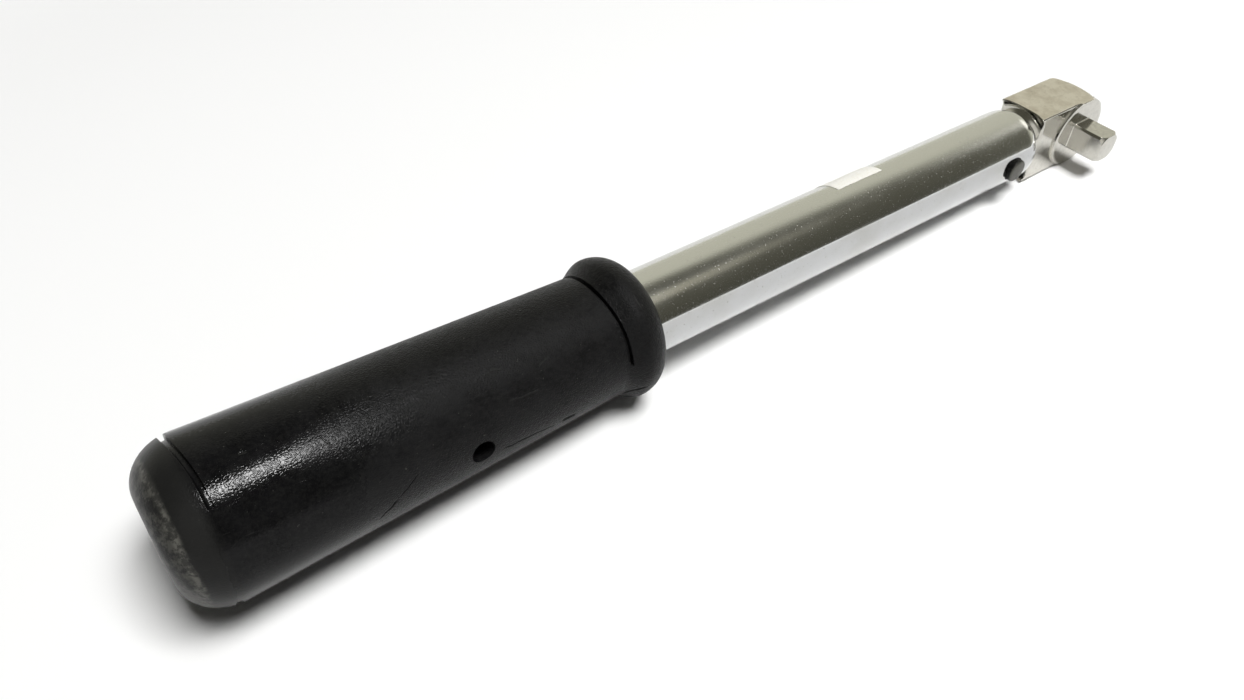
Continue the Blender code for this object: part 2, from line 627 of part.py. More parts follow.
def grip_outline():
    """Outside of the grip from its front lip over the flare and cone to the round rear end."""
    flare_x = GRIP_FRONT_X - FLARE_LENGTH
    lip_r = GRIP_BORE_R + GRIP_LIP
    front = arc((flare_x, lip_r), (FLARE_LENGTH, FLARE_R - lip_r), 0, 90, 8)
    steps = 6
    back = []
    for i in range(1, steps + 1):
        share = 0.5 - 0.5 * math.cos(math.pi * i / steps)
        back.append((flare_x - FLARE_RISE * i / steps, FLARE_R + (GRIP_WAIST_R - FLARE_R) * share))
    round_x = GRIP_REAR_X + REAR_ROUND_LENGTH
    rear = arc((round_x, GRIP_REAR_R - REAR_ROUND_HEIGHT), (REAR_ROUND_LENGTH, REAR_ROUND_HEIGHT), 90, 180, 8)
    return front + back + rear


def grip_radius(x):
    """Radius of the grip's cone at a place along it."""
    waist_x = GRIP_FRONT_X - FLARE_LENGTH - FLARE_RISE
    round_x = GRIP_REAR_X + REAR_ROUND_LENGTH
    share = min(max((waist_x - x) / (waist_x - round_x), 0.0), 1.0)
    return GRIP_WAIST_R + (GRIP_REAR_R - GRIP_WAIST_R) * share


def grip_slot(made, name, x, width, start, sweep):
    """Two opposite part-ring slots cut into the grip."""
    outer = grip_radius(x) + SLOT_DEPTH
    profile = sleeve(x + width / 2, x - width / 2, outer, grip_radius(x) - SLOT_DEPTH)
    for i in range(2):
        shape = swept(profile, start + math.pi * i, sweep, SMALL)
        shape_with(made, f"{name}_{i + 1}", shape)


def grip(finish, carrier):
    """Moulded grip, bored for the tube and open behind for the adjusting key."""
    step_x = TUBE_REAR_X - FIT
    inside = [(GRIP_REAR_X, ACCESS_R), (step_x, ACCESS_R), (step_x, GRIP_BORE_R), (GRIP_FRONT_X, GRIP_BORE_R)]
    made = solid("grip", spun(grip_outline() + inside, FINE, ring=True), finish, carrier)
    front_x = GRIP_FRONT_X - FRONT_SLOT_FROM_FRONT
    rear_x = GRIP_REAR_X + REAR_SLOT_FROM_END
    grip_slot(made, "front_slot", front_x, FRONT_SLOT_WIDTH, FRONT_SLOT_START, FRONT_SLOT_SWEEP)
    grip_slot(made, "rear_slot", rear_x, REAR_SLOT_WIDTH, REAR_SLOT_START, REAR_SLOT_SWEEP)
    hole = to_drive_side(spun(rod(GRIP_REAR_DIAMETER, 0.0, SIDE_HOLE_DIAMETER / 2), SMALL), (LOCK_X, 0, 0))
    shape_with(made, "grip_side_hole", hole)
    return made


def end_plug(finish, carrier):
    """Plug that closes the adjusting key's way in, with a coin slot."""
    rear = GRIP_REAR_X + FIT
    shape = spun(rod(rear + PLUG_LENGTH, rear, ACCESS_R - FIT, BLOCK_EDGE), PLAIN)
    made = solid("end_plug", shape, finish, carrier)
    half = PLUG_SLOT_WIDTH / 2
    low = (rear - PLUG_SLOT_DEPTH, -ACCESS_DIAMETER, -half)
    shape_with(made, "plug_slot", block(low, (rear + PLUG_SLOT_DEPTH, ACCESS_DIAMETER, half)))
    return made


def build():
    clear_scene()
    chrome = metal("chrome_plate", (0.62, 0.62, 0.60), 0.16)
    forged = metal("chrome_forging", (0.60, 0.58, 0.54), 0.28)
    black_steel = metal("black_oxide_steel", (0.03, 0.03, 0.03), 0.45)
    hard_steel = metal("hardened_steel", (0.45, 0.45, 0.46), 0.35)
    spring_steel = metal("spring_steel", (0.30, 0.31, 0.33), 0.40)
    brass = metal("brass", (0.72, 0.53, 0.24), 0.35)
    rubber = metal("black_vinyl", (0.012, 0.012, 0.012), 0.45, 0.0)
    plastic = metal("black_plastic", (0.015, 0.015, 0.015), 0.5, 0.0)

    rest_height = grip_radius(GRIP_REAR_X + REAR_SLOT_FROM_END + REAR_SLOT_WIDTH / 2)
    wrench = empty("wrench", (-REST_MIDDLE_X, -REST_MIDDLE_Y, rest_height))
    head_axis = empty("head_pivot", (PIVOT_X, 0.0, 0.0), wrench)
    ball_axis = empty("detent_press", (0.0, DRIVE_END_Y + BALL_FROM_END, 0.0), wrench)
    plunger_axis = empty("plunger_slide", (PLUNGER_REAR_X, 0.0, 0.0), wrench)
    block_axis = empty("block_tilt", (BLOCK_REAR_X, 0.0, BLOCK_SIZE / 2), wrench)
    nut_axis = empty("nut_travel", (KEY_X, 0.0, 0.0), wrench)
    screw_axis = empty("screw_turn", (COLLAR_REAR_X, 0.0, 0.0), wrench)
    bearing_axis = empty("bearing_roll", (BALL_FRONT_X, 0.0, 0.0), wrench)

    tube(chrome, wrench)
    drive_head(forged, head_axis)
    pivot_pin(black_steel, wrench)
    detent(hard_steel, spring_steel, ball_axis, head_axis)
    tilt_block(hard_steel, block_axis)
    plunger(hard_steel, plunger_axis)
    washer("front_spring_washer", FRONT_WASHER_X, hard_steel, plunger_axis)
    coil("torque_spring", SPRING_FRONT_X, SPRING_LENGTH, SPRING_WIRE, SPRING_COIL, SPRING_TURNS,
         SPRING_CLOSED_PITCH, 0.0, spring_steel, plunger_axis)
    washer("rear_spring_washer", REAR_WASHER_X, hard_steel, nut_axis)
    load_nut(brass, nut_axis)
    nut_key(hard_steel, nut_axis)
    load_screw(hard_steel, screw_axis)
    screw_clip(spring_steel, screw_axis)
    race("turning_race", TURNING_RACE_X, hard_steel, screw_axis)
    bearing(hard_steel, brass, bearing_axis)
    race("still_race", STILL_RACE_X, hard_steel, wrench)
    screw_bush(hard_steel, wrench)
    retaining_ring(spring_steel, wrench)
    lock_screw(black_steel, wrench)
    grip(rubber, wrench)
    end_plug(plastic, wrench)


build()
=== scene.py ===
import bmesh
import bpy
import json
import math
import numpy as np
from functools import partial
from mathutils import Matrix, Vector


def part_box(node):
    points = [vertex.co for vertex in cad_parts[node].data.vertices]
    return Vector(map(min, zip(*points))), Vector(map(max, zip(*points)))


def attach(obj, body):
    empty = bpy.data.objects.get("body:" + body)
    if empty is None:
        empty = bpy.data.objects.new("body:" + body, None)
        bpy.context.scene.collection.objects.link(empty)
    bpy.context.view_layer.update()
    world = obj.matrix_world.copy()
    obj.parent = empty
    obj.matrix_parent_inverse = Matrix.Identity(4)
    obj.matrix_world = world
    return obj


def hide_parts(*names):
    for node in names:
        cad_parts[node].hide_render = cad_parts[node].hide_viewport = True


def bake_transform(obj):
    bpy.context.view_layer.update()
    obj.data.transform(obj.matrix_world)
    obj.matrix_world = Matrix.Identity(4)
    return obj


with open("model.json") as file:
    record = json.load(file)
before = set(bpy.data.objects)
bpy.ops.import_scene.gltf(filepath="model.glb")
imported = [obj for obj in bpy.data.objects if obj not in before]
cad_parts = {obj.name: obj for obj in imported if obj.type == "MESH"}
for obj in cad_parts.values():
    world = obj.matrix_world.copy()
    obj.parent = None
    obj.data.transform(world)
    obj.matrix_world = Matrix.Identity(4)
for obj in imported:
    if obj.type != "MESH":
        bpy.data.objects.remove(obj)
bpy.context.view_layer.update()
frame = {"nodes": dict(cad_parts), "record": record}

# All lengths below are millimetres counted from the drive axis (x) and the tube's axis (y, z)
mm = 0.001
tubeLow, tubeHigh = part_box("tube")
tubeMouth = -31.1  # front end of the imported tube
driveX = tubeHigh.x - tubeMouth * mm
axisY = (tubeLow.y + tubeHigh.y) / 2
axisZ = (tubeLow.z + tubeHigh.z) / 2


def toWorld(points):
    # Millimetres about the wrench's axes to metres in the frame
    return np.asarray(points, float) * mm + np.array([driveX, axisY, axisZ])


def smooth(low, high, value):
    # 0 up to low, 1 from high on, and three squares less two cubes of the share between them
    t = np.clip((value - low) / (high - low), 0.0, 1.0)
    return t * t * (3.0 - 2.0 * t)


def softMin(a, b, width):
    # The smaller of two values, with the corner between them rounded over the given width
    h = np.maximum(width - np.abs(a - b), 0.0) / width
    return np.minimum(a, b) - h * h * width / 4.0


def linesAround(centre, offsets):
    # A line at the centre and one at each offset to both sides of it
    offsets = np.asarray(offsets, float)
    return np.concatenate([centre - offsets[::-1], [centre], centre + offsets])


def newObject(name, data):
    # An object that is in the scene
    thing = bpy.data.objects.new(name, data)
    bpy.context.scene.collection.objects.link(thing)
    return thing


def makePiece(name, points, faces, material, body, slot, nodes=()):
    # faces is a list of index arrays, one per face size; body is a name to attach the piece to, or else two
    # names and a blend's ends, and then the piece is only baked where it stands
    mesh = bpy.data.meshes.new(name)
    loops = np.concatenate([np.asarray(f, np.int32).ravel() for f in faces])
    totals = np.concatenate([np.full(len(f), np.asarray(f).shape[1], np.int32) for f in faces])
    mesh.vertices.add(len(points))
    mesh.vertices.foreach_set("co", toWorld(points).astype(np.float32).ravel())
    mesh.loops.add(len(loops))
    mesh.loops.foreach_set("vertex_index", loops)
    mesh.polygons.add(len(totals))
    mesh.polygons.foreach_set("loop_start", np.concatenate([[0], np.cumsum(totals)[:-1]]).astype(np.int32))
    mesh.polygons.foreach_set("loop_total", totals)
    mesh.update(calc_edges=True)
    skin = bmesh.new()
    skin.from_mesh(mesh)
    bmesh.ops.delete(skin, geom=[v for v in skin.verts if not v.link_faces], context="VERTS")
    bmesh.ops.recalc_face_normals(skin, faces=skin.faces)
    skin.to_mesh(mesh)
    skin.free()
    mesh.shade_smooth()
    mesh.set_sharp_from_angle(angle=math.radians(38))
    mesh.materials.append(material)
    piece = newObject(name, mesh)
    if isinstance(body, str):
        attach(piece, body)
    else:
        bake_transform(piece)
    if nodes:
        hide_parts(*nodes)


def gridIndex(rows, columns):
    # Vertex numbers of a grid, row by row
    return np.arange(rows * columns).reshape(rows, columns)


def gridFaces(index, ringRows=False, ringColumns=True):
    # One quad between each pair of neighbouring rows and columns
    a = index if ringColumns else index[:, :-1]
    b = np.roll(index, -1, axis=1) if ringColumns else index[:, 1:]
    c = np.roll(b, -1, axis=0)
    d = np.roll(a, -1, axis=0)
    quads = np.stack([a, b, c, d], axis=-1)
    return quads if ringRows else quads[:-1]


def rimOf(index, rows, columns):
    # Vertices around a block of the grid, in order
    top = index[rows[0], columns]
    right = index[rows[1:], columns[-1]]
    bottom = index[rows[-1], columns[::-1][1:]]
    left = index[rows[::-1][1:-1], columns[0]]
    return np.concatenate([top, right, bottom, left])


def bridge(first, second):
    # A ring of quads between two rims of equal count
    return np.stack([first, np.roll(first, -1), np.roll(second, -1), second], axis=-1)


holeReach = 1.6  # hole radii within which the grid bends


def roundTheHole(u, v, radius):
    # Grid lines near a hole bend from a square into a circle of the hole's radius
    across = np.maximum(np.abs(u), np.abs(v))
    length = np.maximum(np.hypot(u, v), 1e-9)
    share = 1.0 - smooth(radius, holeReach * radius, across)
    factor = 1.0 - share + share * across / length
    near = across < holeReach * radius
    return np.where(near, u * factor, u), np.where(near, v * factor, v)


def holeSteps(radius):
    # Grid lines across a hole and around it, out to where the bending ends
    return np.array([0.35, 0.7, 0.9, 1.0, 1.04, 1.12, 1.25, 1.42, holeReach]) * radius


def capped(points):
    # Rings joined into a closed skin, with one flat face at each end
    index = gridIndex(*points.shape[:2])
    return points.reshape(-1, 3), [gridFaces(index).reshape(-1, 4), index[[0, -1]]]


# Materials: sRGB colours as given, sizes of grain and scratches in millimetres


def linear(code):
    # sRGB hex value to linear colour
    values = [int(code[i:i + 2], 16) / 255 for i in (1, 3, 5)]
    return tuple(v / 12.92 if v <= 0.04045 else ((v + 0.055) / 1.055) ** 2.4 for v in values) + (1.0,)


def cells(size):
    # Scale of a texture, in cells a metre, whose cells are this many millimetres wide
    return 1000.0 / size


def setSockets(node, sockets):
    # Sockets by name in a dictionary, or in their order in a tuple; an output is linked, a number is set
    for key, value in sockets.items() if isinstance(sockets, dict) else enumerate(sockets):
        if isinstance(value, bpy.types.NodeSocket):
            node.id_data.links.new(value, node.inputs[key])
        else:
            node.inputs[key].default_value = value


def addNode(tree, kind, sockets=(), out=0, **settings):
    # One node with its settings and links; gives one of its outputs
    node = tree.nodes.new("ShaderNode" + kind)
    for key, value in settings.items():
        setattr(node, key, value)
    setSockets(node, sockets)
    return node.outputs[out]


def newMaterial(name, sockets):
    # A material, its shader, what adds a node to it, and the place on the object
    material = bpy.data.materials.new(name)
    material.use_nodes = True
    shader = material.node_tree.nodes["Principled BSDF"]
    setSockets(shader, sockets)
    add = partial(addNode, material.node_tree)
    return material, shader, add, add("TexCoord", out="Object")


def layered(add, base, layers):
    # Colours laid over one another, each as strong as its mask times its share
    for mask, share, colour in layers:
        weight = add("Math", (mask, share), operation="MULTIPLY")
        base = add("Mix", {0: weight, 6: base, 7: linear(colour)}, 2, data_type="RGBA")
    return base


def summed(add, total, terms):
    # A value plus each mask times its weight
    for mask, weight in terms:
        total = add("Math", (mask, weight, total), operation="MULTIPLY_ADD")
    return total


def dress(shader, add, base, rough, height, depth):
    # Colour, roughness, and a relief whose unit of height is this many millimetres deep
    bump = add("Bump", {"Height": height, "Distance": depth * mm})
    setSockets(shader, {"Base Color": base, "Roughness": rough, "Normal": bump})


eased = {"interpolation_type": "SMOOTHSTEP"}  # how each range below rises

# Marks on the grip: both ends as (x, angle up from the drive side) and the half width
marks = {"cut": [((-283.1, -13.9), (-277.4, -0.5), 0.36), ((-277.4, -0.5), (-271.9, 12.5), 0.26),
                 ((-249.9, -7.2), (-232.3, -12.0), 0.34), ((-231.1, -11.2), (-226.3, -13.2), 0.7),
                 ((-210.4, -25.0), (-204.0, -19.0), 0.55)],
         "rub": [((-245.3, 31.0), (-235.7, 28.9), 0.3), ((-234.9, 44.3), (-230.4, 50.1), 0.35),
                 ((-246.8, 57.9), (-243.3, 55.7), 0.5), ((-202.4, 65.1), (-202.2, 50.8), 0.3),
                 ((-288.7, 66.4), (-287.2, 56.9), 0.18), ((-284.4, 76.0), (-283.5, 71.3), 0.2),
                 ((-305.1, 81.4), (-303.0, 79.0), 0.25)]}
markRadius = 19.2  # mean radius of the grip
markOutward = Vector((0.0, -0.9, 0.44)).normalized()  # the way that most of the marks face

# Wear of the grip along x, and a painted highlight: where the dull rear, the worn end and the matt front
# begin and are full, and the middle of the grey ring, partly wear and partly a painted highlight of the
# rounded edge
wearAndHighlight = {"rear": (-314.8, -318.5), "end": (-322.2, -324.0), "front": (-306.0, -260.0), "ring": -324.6}


def markAlong(add, place, first, second, half):
    # 1 along a straight line between two points of the surface, fading to 0 at its half width and its ends
    reach = np.hypot(*(np.array(first) - second) * (1.0, math.radians(markRadius))) * mm
    turns = np.radians([first[1], second[1]])
    ends = np.stack([(first[0], second[0]), -markRadius * np.cos(turns), markRadius * np.sin(turns)], -1)
    start, stop = (Vector(p) for p in toWorld(ends))
    axis = (stop - start).normalized()
    offset = add("VectorMath", (place, start), operation="SUBTRACT")
    along = add("VectorMath", (offset, axis), "Value", operation="DOT_PRODUCT")
    side = add("VectorMath", (offset, axis.cross(markOutward)), "Value", operation="DOT_PRODUCT")
    side = add("Math", (side,), operation="ABSOLUTE")
    mark = add("MapRange", (side, half * mm, 0.3 * half * mm), **eased)
    for low, high in ((0.0, 0.2 * reach), (reach, 0.8 * reach)):
        end = add("MapRange", (along, low, high), **eased)
        mark = add("Math", (mark, end), operation="MULTIPLY")
    return mark


def vinylMaterial():
    # Moulded black vinyl: leather-like grain of about 0.7 mm, cuts painted near-black as painted shade in
    # their grooves, rubs, glossy where the palm holds it, matt towards the front, and a dull rear end with a
    # grey ring, partly wear and partly a painted highlight of the rounded edge
    material, shader, add, place = newMaterial("moulded_black_vinyl", {"Specular IOR Level": 0.11})
    grain = add("TexVoronoi", {"Vector": place, "Scale": cells(0.6667)}, "Distance",
                feature="DISTANCE_TO_EDGE")
    grain = add("MapRange", (grain, 0.0, 0.35), **eased)
    cloud = add("TexNoise", {"Vector": place, "Scale": cells(7.143), "Detail": 4.0, "Roughness": 0.55})
    scuffs = add("Mapping", {"Vector": place, "Scale": (0.25, 1.6, 1.6)})
    scuffs = add("TexNoise", {"Vector": scuffs, "Scale": cells(1.111), "Detail": 5.0, "Roughness": 0.7})
    scuffs = add("MapRange", (scuffs, 0.62, 0.74), **eased)
    specks = add("TexNoise", {"Vector": place, "Scale": cells(0.909), "Detail": 2.0, "Roughness": 0.55})
    specks = add("MapRange", (specks, 0.72, 0.76), **eased)
    patches = add("TexNoise", {"Vector": place, "Scale": cells(2.381), "Detail": 6.0, "Roughness": 0.7})
    patches = add("MapRange", (patches, 0.42, 0.62), **eased)
    grit = add("TexNoise", {"Vector": place, "Scale": cells(1.0), "Detail": 4.0, "Roughness": 0.7})
    grit = add("MapRange", (grit, 0.38, 0.68), **eased)
    along = add("SeparateXYZ", (place,), "X")
    rear, end, front = (add("MapRange", (along, *(driveX + x * mm for x in wearAndHighlight[key])), **eased)
                        for key in ("rear", "end", "front"))
    end = add("Math", (end, patches), operation="MULTIPLY")
    gritty = add("Math", (grit, front), operation="MULTIPLY")
    # The grey ring, partly wear and partly a painted highlight of the rounded edge, wavers with the cloud and
    # is broken by the patches
    ring = add("Math", (along, driveX + wearAndHighlight["ring"] * mm), operation="SUBTRACT")
    ring = add("Math", (cloud, -2.4 * mm, ring), operation="MULTIPLY_ADD")
    ring = add("Math", (ring,), operation="ABSOLUTE")
    ring = add("MapRange", (ring, 1.3 * mm, 0.1 * mm), **eased)
    broken = add("MapRange", (patches, 0.0, 1.0, 0.25, 1.0), **eased)
    ring = add("Math", (ring, broken), operation="MULTIPLY")
    # Cuts and rubs are never quite straight
    wobble = add("TexNoise", {"Vector": place, "Scale": cells(3.03), "Detail": 3.0}, "Color")
    wobble = add("VectorMath", (wobble, (0.5, 0.5, 0.5)), operation="SUBTRACT")
    bent = add("VectorMath", (wobble, (1.2 * mm,) * 3, place), operation="MULTIPLY_ADD")
    scars = {"cut": 0.0, "rub": 0.0}
    for kind, lines in marks.items():
        for line in lines:
            scars[kind] = add("Math", (markAlong(add, bent, *line), scars[kind]), operation="MAXIMUM")
    cuts, rubs = scars["cut"], scars["rub"]
    # The cuts' near-black colour is painted shade in their grooves; the grey ring is partly a painted
    # highlight
    base = layered(add, linear("#0a0a0b"), [
        (add("MapRange", (cloud, 0.35, 0.7), **eased), 1.0, "#121213"), (grit, 0.5, "#1d1d1c"),
        (scuffs, 0.35, "#333331"), (specks, 0.22, "#6e6d66"), (rear, 0.8, "#1f1f1e"), (end, 0.8, "#4a4944"),
        (ring, 0.65, "#6b6a64"), (rubs, 0.15, "#40403d"), (cuts, 1.0, "#030303")])
    rough = add("MapRange", (cloud, 0.3, 0.7, 0.10, 0.17), **eased)
    rough = summed(add, rough, [(rear, 0.2), (front, 0.24), (gritty, 0.12), (cuts, 0.4)])
    relief = add("MapRange", (front, 0.0, 1.0, 0.5, 1.8), **eased)
    height = add("Math", (grain, relief), operation="MULTIPLY")
    height = summed(add, height, [(scuffs, -0.5), (cloud, 1.5), (gritty, 1.5), (cuts, -9.0), (rubs, -4.0)])
    dress(shader, add, base, rough, height, 0.03)
    return material


def chromeMaterial():
    # Bright chrome on a drawn tube: lengthwise polish lines, drawn as coarse as they need to show, and a top
    # side dulled and paled by fine pitting
    material, shader, add, place = newMaterial("bright_chrome_tube", {"Metallic": 1.0})
    lines = add("Mapping", {"Vector": place, "Scale": (0.02, 1.0, 1.0)})
    lines = add("TexNoise", {"Vector": lines, "Scale": cells(0.3846), "Detail": 3.0, "Roughness": 0.55})
    haze = add("Mapping", {"Vector": place, "Scale": (0.6, 1.0, 1.0)})
    haze = add("TexNoise", {"Vector": haze, "Scale": cells(14.286), "Detail": 5.0, "Roughness": 0.6})
    pits = add("TexNoise", {"Vector": place, "Scale": cells(0.625), "Detail": 2.0, "Roughness": 0.55})
    pits = add("MapRange", (pits, 0.66, 0.74), **eased)
    grain = add("TexNoise", {"Vector": place, "Scale": cells(0.5263), "Detail": 3.0, "Roughness": 0.6})
    up = add("SeparateXYZ", (place,), "Z")
    top = add("MapRange", (up, axisZ + 4.5 * mm, axisZ + 9.5 * mm), **eased)
    hazy = add("MapRange", (haze, 0.35, 0.7), **eased)
    base = layered(add, linear("#bdbebf"), [(hazy, 1.0, "#b3b3b1"), (top, 1.0, "#cacac5"),
                                            (pits, 0.5, "#7d796f")])
    rough = add("MapRange", (haze, 0.35, 0.75, 0.07, 0.12), **eased)
    rough = summed(add, rough, [(top, 0.10), (pits, 0.25)])
    height = add("Math", (grain, top), operation="MULTIPLY")
    height = add("Math", (height, 1.6), operation="MULTIPLY")
    height = summed(add, height, [(lines, 0.12), (pits, -0.4)])
    dress(shader, add, base, rough, height, 0.012)
    return material


def headMaterial():
    # Chrome over a forging: top and bottom rougher from handling and painted paler as a painted sheen, sides
    # and square still bright
    material, shader, add, place = newMaterial("satin_chrome_forging", {"Metallic": 1.0})
    up = add("SeparateXYZ", (add("TexCoord", out="Normal"),), "Z")
    up = add("Math", (up,), operation="ABSOLUTE")
    flat = add("MapRange", (up, 0.9, 0.99), **eased)
    side = add("SeparateXYZ", (place,), "Y")
    behind = add("MapRange", (side, axisY - 10.2 * mm, axisY - 9.8 * mm), **eased)
    flat = add("Math", (flat, behind), operation="MULTIPLY")
    stain = add("TexNoise", {"Vector": place, "Scale": cells(5.882), "Detail": 5.0, "Roughness": 0.65})
    stain = add("MapRange", (stain, 0.35, 0.7), **eased)
    mottle = add("TexNoise", {"Vector": place, "Scale": cells(1.4286), "Detail": 5.0, "Roughness": 0.65})
    mottled = add("MapRange", (mottle, 0.35, 0.7), **eased)
    spots = add("MapRange", (mottle, 0.55, 0.75), **eased)
    fine = add("TexNoise", {"Vector": place, "Scale": cells(0.41667), "Detail": 3.0, "Roughness": 0.55})
    bright = layered(add, linear("#c6c4bd"), [(mottled, 1.0, "#bab8b1")])
    # The paler colour of the top and bottom faces is a painted sheen, with stains and spots on it
    dull = layered(add, linear("#dbd5c9"), [(stain, 1.0, "#c4bcae"), (spots, 0.5, "#a49c8e")])
    base = add("Mix", {0: flat, 6: bright, 7: dull}, 2, data_type="RGBA")
    rough = add("MapRange", (mottle, 0.3, 0.7, 0.13, 0.21), **eased)
    rough = summed(add, rough, [(flat, 0.17)])
    height = summed(add, mottle, [(add("Math", (fine, flat), operation="MULTIPLY"), 0.8)])
    dress(shader, add, base, rough, height, 0.008)
    return material


def neckMaterial():
    # Dark steel neck and lever, with paler mottled patches
    material, shader, add, place = newMaterial("dark_steel_neck", {"Metallic": 0.35})
    film = add("TexNoise", {"Vector": place, "Scale": cells(1.6667), "Detail": 5.0, "Roughness": 0.65})
    dusty = add("MapRange", (film, 0.35, 0.7), **eased)
    base = layered(add, linear("#2f2d26"), [(dusty, 1.0, "#4a473c")])
    rough = add("MapRange", (film, 0.3, 0.7, 0.3, 0.5), **eased)
    dress(shader, add, base, rough, film, 0.03)
    return material


def oxideMaterial():
    # Black oxide on steel, rubbed grey where it is handled and on the pin's end
    material, shader, add, place = newMaterial("black_oxide_steel", {"Metallic": 0.7})
    rub = add("TexNoise", {"Vector": place, "Scale": cells(1.111), "Detail": 4.0, "Roughness": 0.65})
    rubbed = add("MapRange", (rub, 0.5, 0.72), **eased)
    side = add("SeparateXYZ", (place,), "Y")
    worn = add("MapRange", (side, axisY - 13.6 * mm, axisY - 14.0 * mm), **eased)
    base = layered(add, linear("#131312"), [(rubbed, 1.0, "#3b3a37"), (worn, 0.8, "#5d5c56")])
    rough = add("MapRange", (rub, 0.3, 0.7, 0.32, 0.5), **eased)
    dress(shader, add, base, rough, rub, 0.02)
    return material


def innerMaterial(name, light, dark, metallic, rough):
    # Machined inside pieces: turning marks, drawn as coarse as they need to show, under a film of oil
    material, shader, add, place = newMaterial(name, {"Metallic": metallic})
    film = add("TexNoise", {"Vector": place, "Scale": cells(2.0), "Detail": 4.0, "Roughness": 0.55})
    oily = add("MapRange", (film, 0.35, 0.7), **eased)
    base = layered(add, linear(light), [(oily, 1.0, dark)])
    uneven = add("MapRange", (film, 0.3, 0.7, rough - 0.07, rough + 0.1), **eased)
    turning = add("Mapping", {"Vector": place, "Scale": (1.0, 0.15, 0.15)})
    turning = add("TexNoise", {"Vector": turning, "Scale": cells(0.25), "Detail": 3.0, "Roughness": 0.55})
    dress(shader, add, base, uneven, turning, 0.01)
    return material


def paperMaterial():
    # White coated paper tape, faintly yellowed, with fibres drawn as coarse as they need to show
    material, shader, add, place = newMaterial("white_paper_tape", {})
    fibre = add("TexNoise", {"Vector": place, "Scale": cells(0.55556), "Detail": 3.0, "Roughness": 0.55})
    yellowed = add("MapRange", (fibre, 0.35, 0.75), **eased)
    base = layered(add, linear("#fbfaf3"), [(yellowed, 1.0, "#efece0")])
    dress(shader, add, base, 0.45, fibre, 0.01)
    return material


vinyl = vinylMaterial()
chrome = chromeMaterial()
headChrome = headMaterial()
neckSteel = neckMaterial()
oxide = oxideMaterial()
paper = paperMaterial()
looks = {
    "hardened_steel": innerMaterial("hardened_steel_ground", "#b4b4b2", "#8f8e8a", 1.0, 0.32),
    "spring_steel": innerMaterial("spring_wire_oiled", "#8b8d90", "#626467", 1.0, 0.36),
    "brass": innerMaterial("turned_brass", "#d2b06a", "#a98545", 1.0, 0.33),
    "black_plastic": innerMaterial("moulded_black_plastic", "#141415", "#1f1f20", 0.0, 0.5),
    "black_oxide_steel": oxide, "chrome_plate": chrome, "chrome_forging": headChrome, "black_vinyl": vinyl,
}
print("materials made")


def turned(profile, phi):
    # Profile of (x, radius) turned about the tube's axis; the angle runs from -Y over the top to +Y
    x, r = np.asarray(profile, float).T
    return np.stack([np.repeat(x[:, None], len(phi), 1), -r[:, None] * np.cos(phi),
                     r[:, None] * np.sin(phi)], axis=-1)


def withLines(base, lines, least):
    # The given lines, and the base lines that stay at least so far from them
    lines = np.unique(np.round(lines, 6))
    clear = np.abs(base[:, None] - lines[None, :]).min(axis=1) > least
    return np.sort(np.concatenate([base[clear], lines]))


def drill(points, rows, phi, hole, radiusAt):
    # Bends the grid of one turned surface around a round hole drilled along Y, and gives the hole's block
    sub = points[rows]
    u = sub[..., 0] - hole["x"]
    v = np.broadcast_to(hole["reference"] * np.sin(phi), u.shape)
    side = np.cos(phi) * hole["side"] > 0
    across = np.maximum(np.abs(u), np.abs(v))
    share = 1.0 - smooth(hole["radius"], holeReach * hole["radius"], across)
    near = (across < holeReach * hole["radius"]) & side
    bentU, bentV = roundTheHole(u, v, hole["radius"])
    x = np.where(near, hole["x"] + bentU, sub[..., 0])
    z = np.where(near, share * bentV + (1.0 - share) * sub[..., 2], sub[..., 2])
    y = np.where(near, -hole["side"] * np.sqrt(np.maximum(radiusAt(x) ** 2 - z ** 2, 0.0)), sub[..., 1])
    inRow = np.abs(u[:, 0]) <= hole["radius"] + 1e-5
    inColumn = (np.abs(v[0]) <= hole["radius"] + 1e-5) & side
    blockRows = rows[inRow][np.argsort(u[inRow, 0])]
    blockColumns = np.flatnonzero(inColumn)[np.argsort(v[0][inColumn])]
    points[rows] = np.stack([x, y, z], axis=-1)
    return blockRows, blockColumns


def opened(quads, blocks):
    # All quads of a grid except those inside the holes' blocks
    keep = np.ones(quads.shape[:2], bool)
    for rows, columns in blocks:
        keep[rows.min():rows.max(), columns.min():columns.max()] = False
    return quads[keep]


# Tube: drawn tube with a rolled mouth, the pin's two holes and the lock screw's hole
tube = {"radius": 12.5, "bore": 10.75, "lip": (4.6, 1.6), "edge": 0.3, "mouth": -27.4,
        "rear": (tubeLow.x - driveX) * 1000, "pinX": -40.2, "pinHole": 4.25, "lockX": -254.5, "lockHole": 3.3}


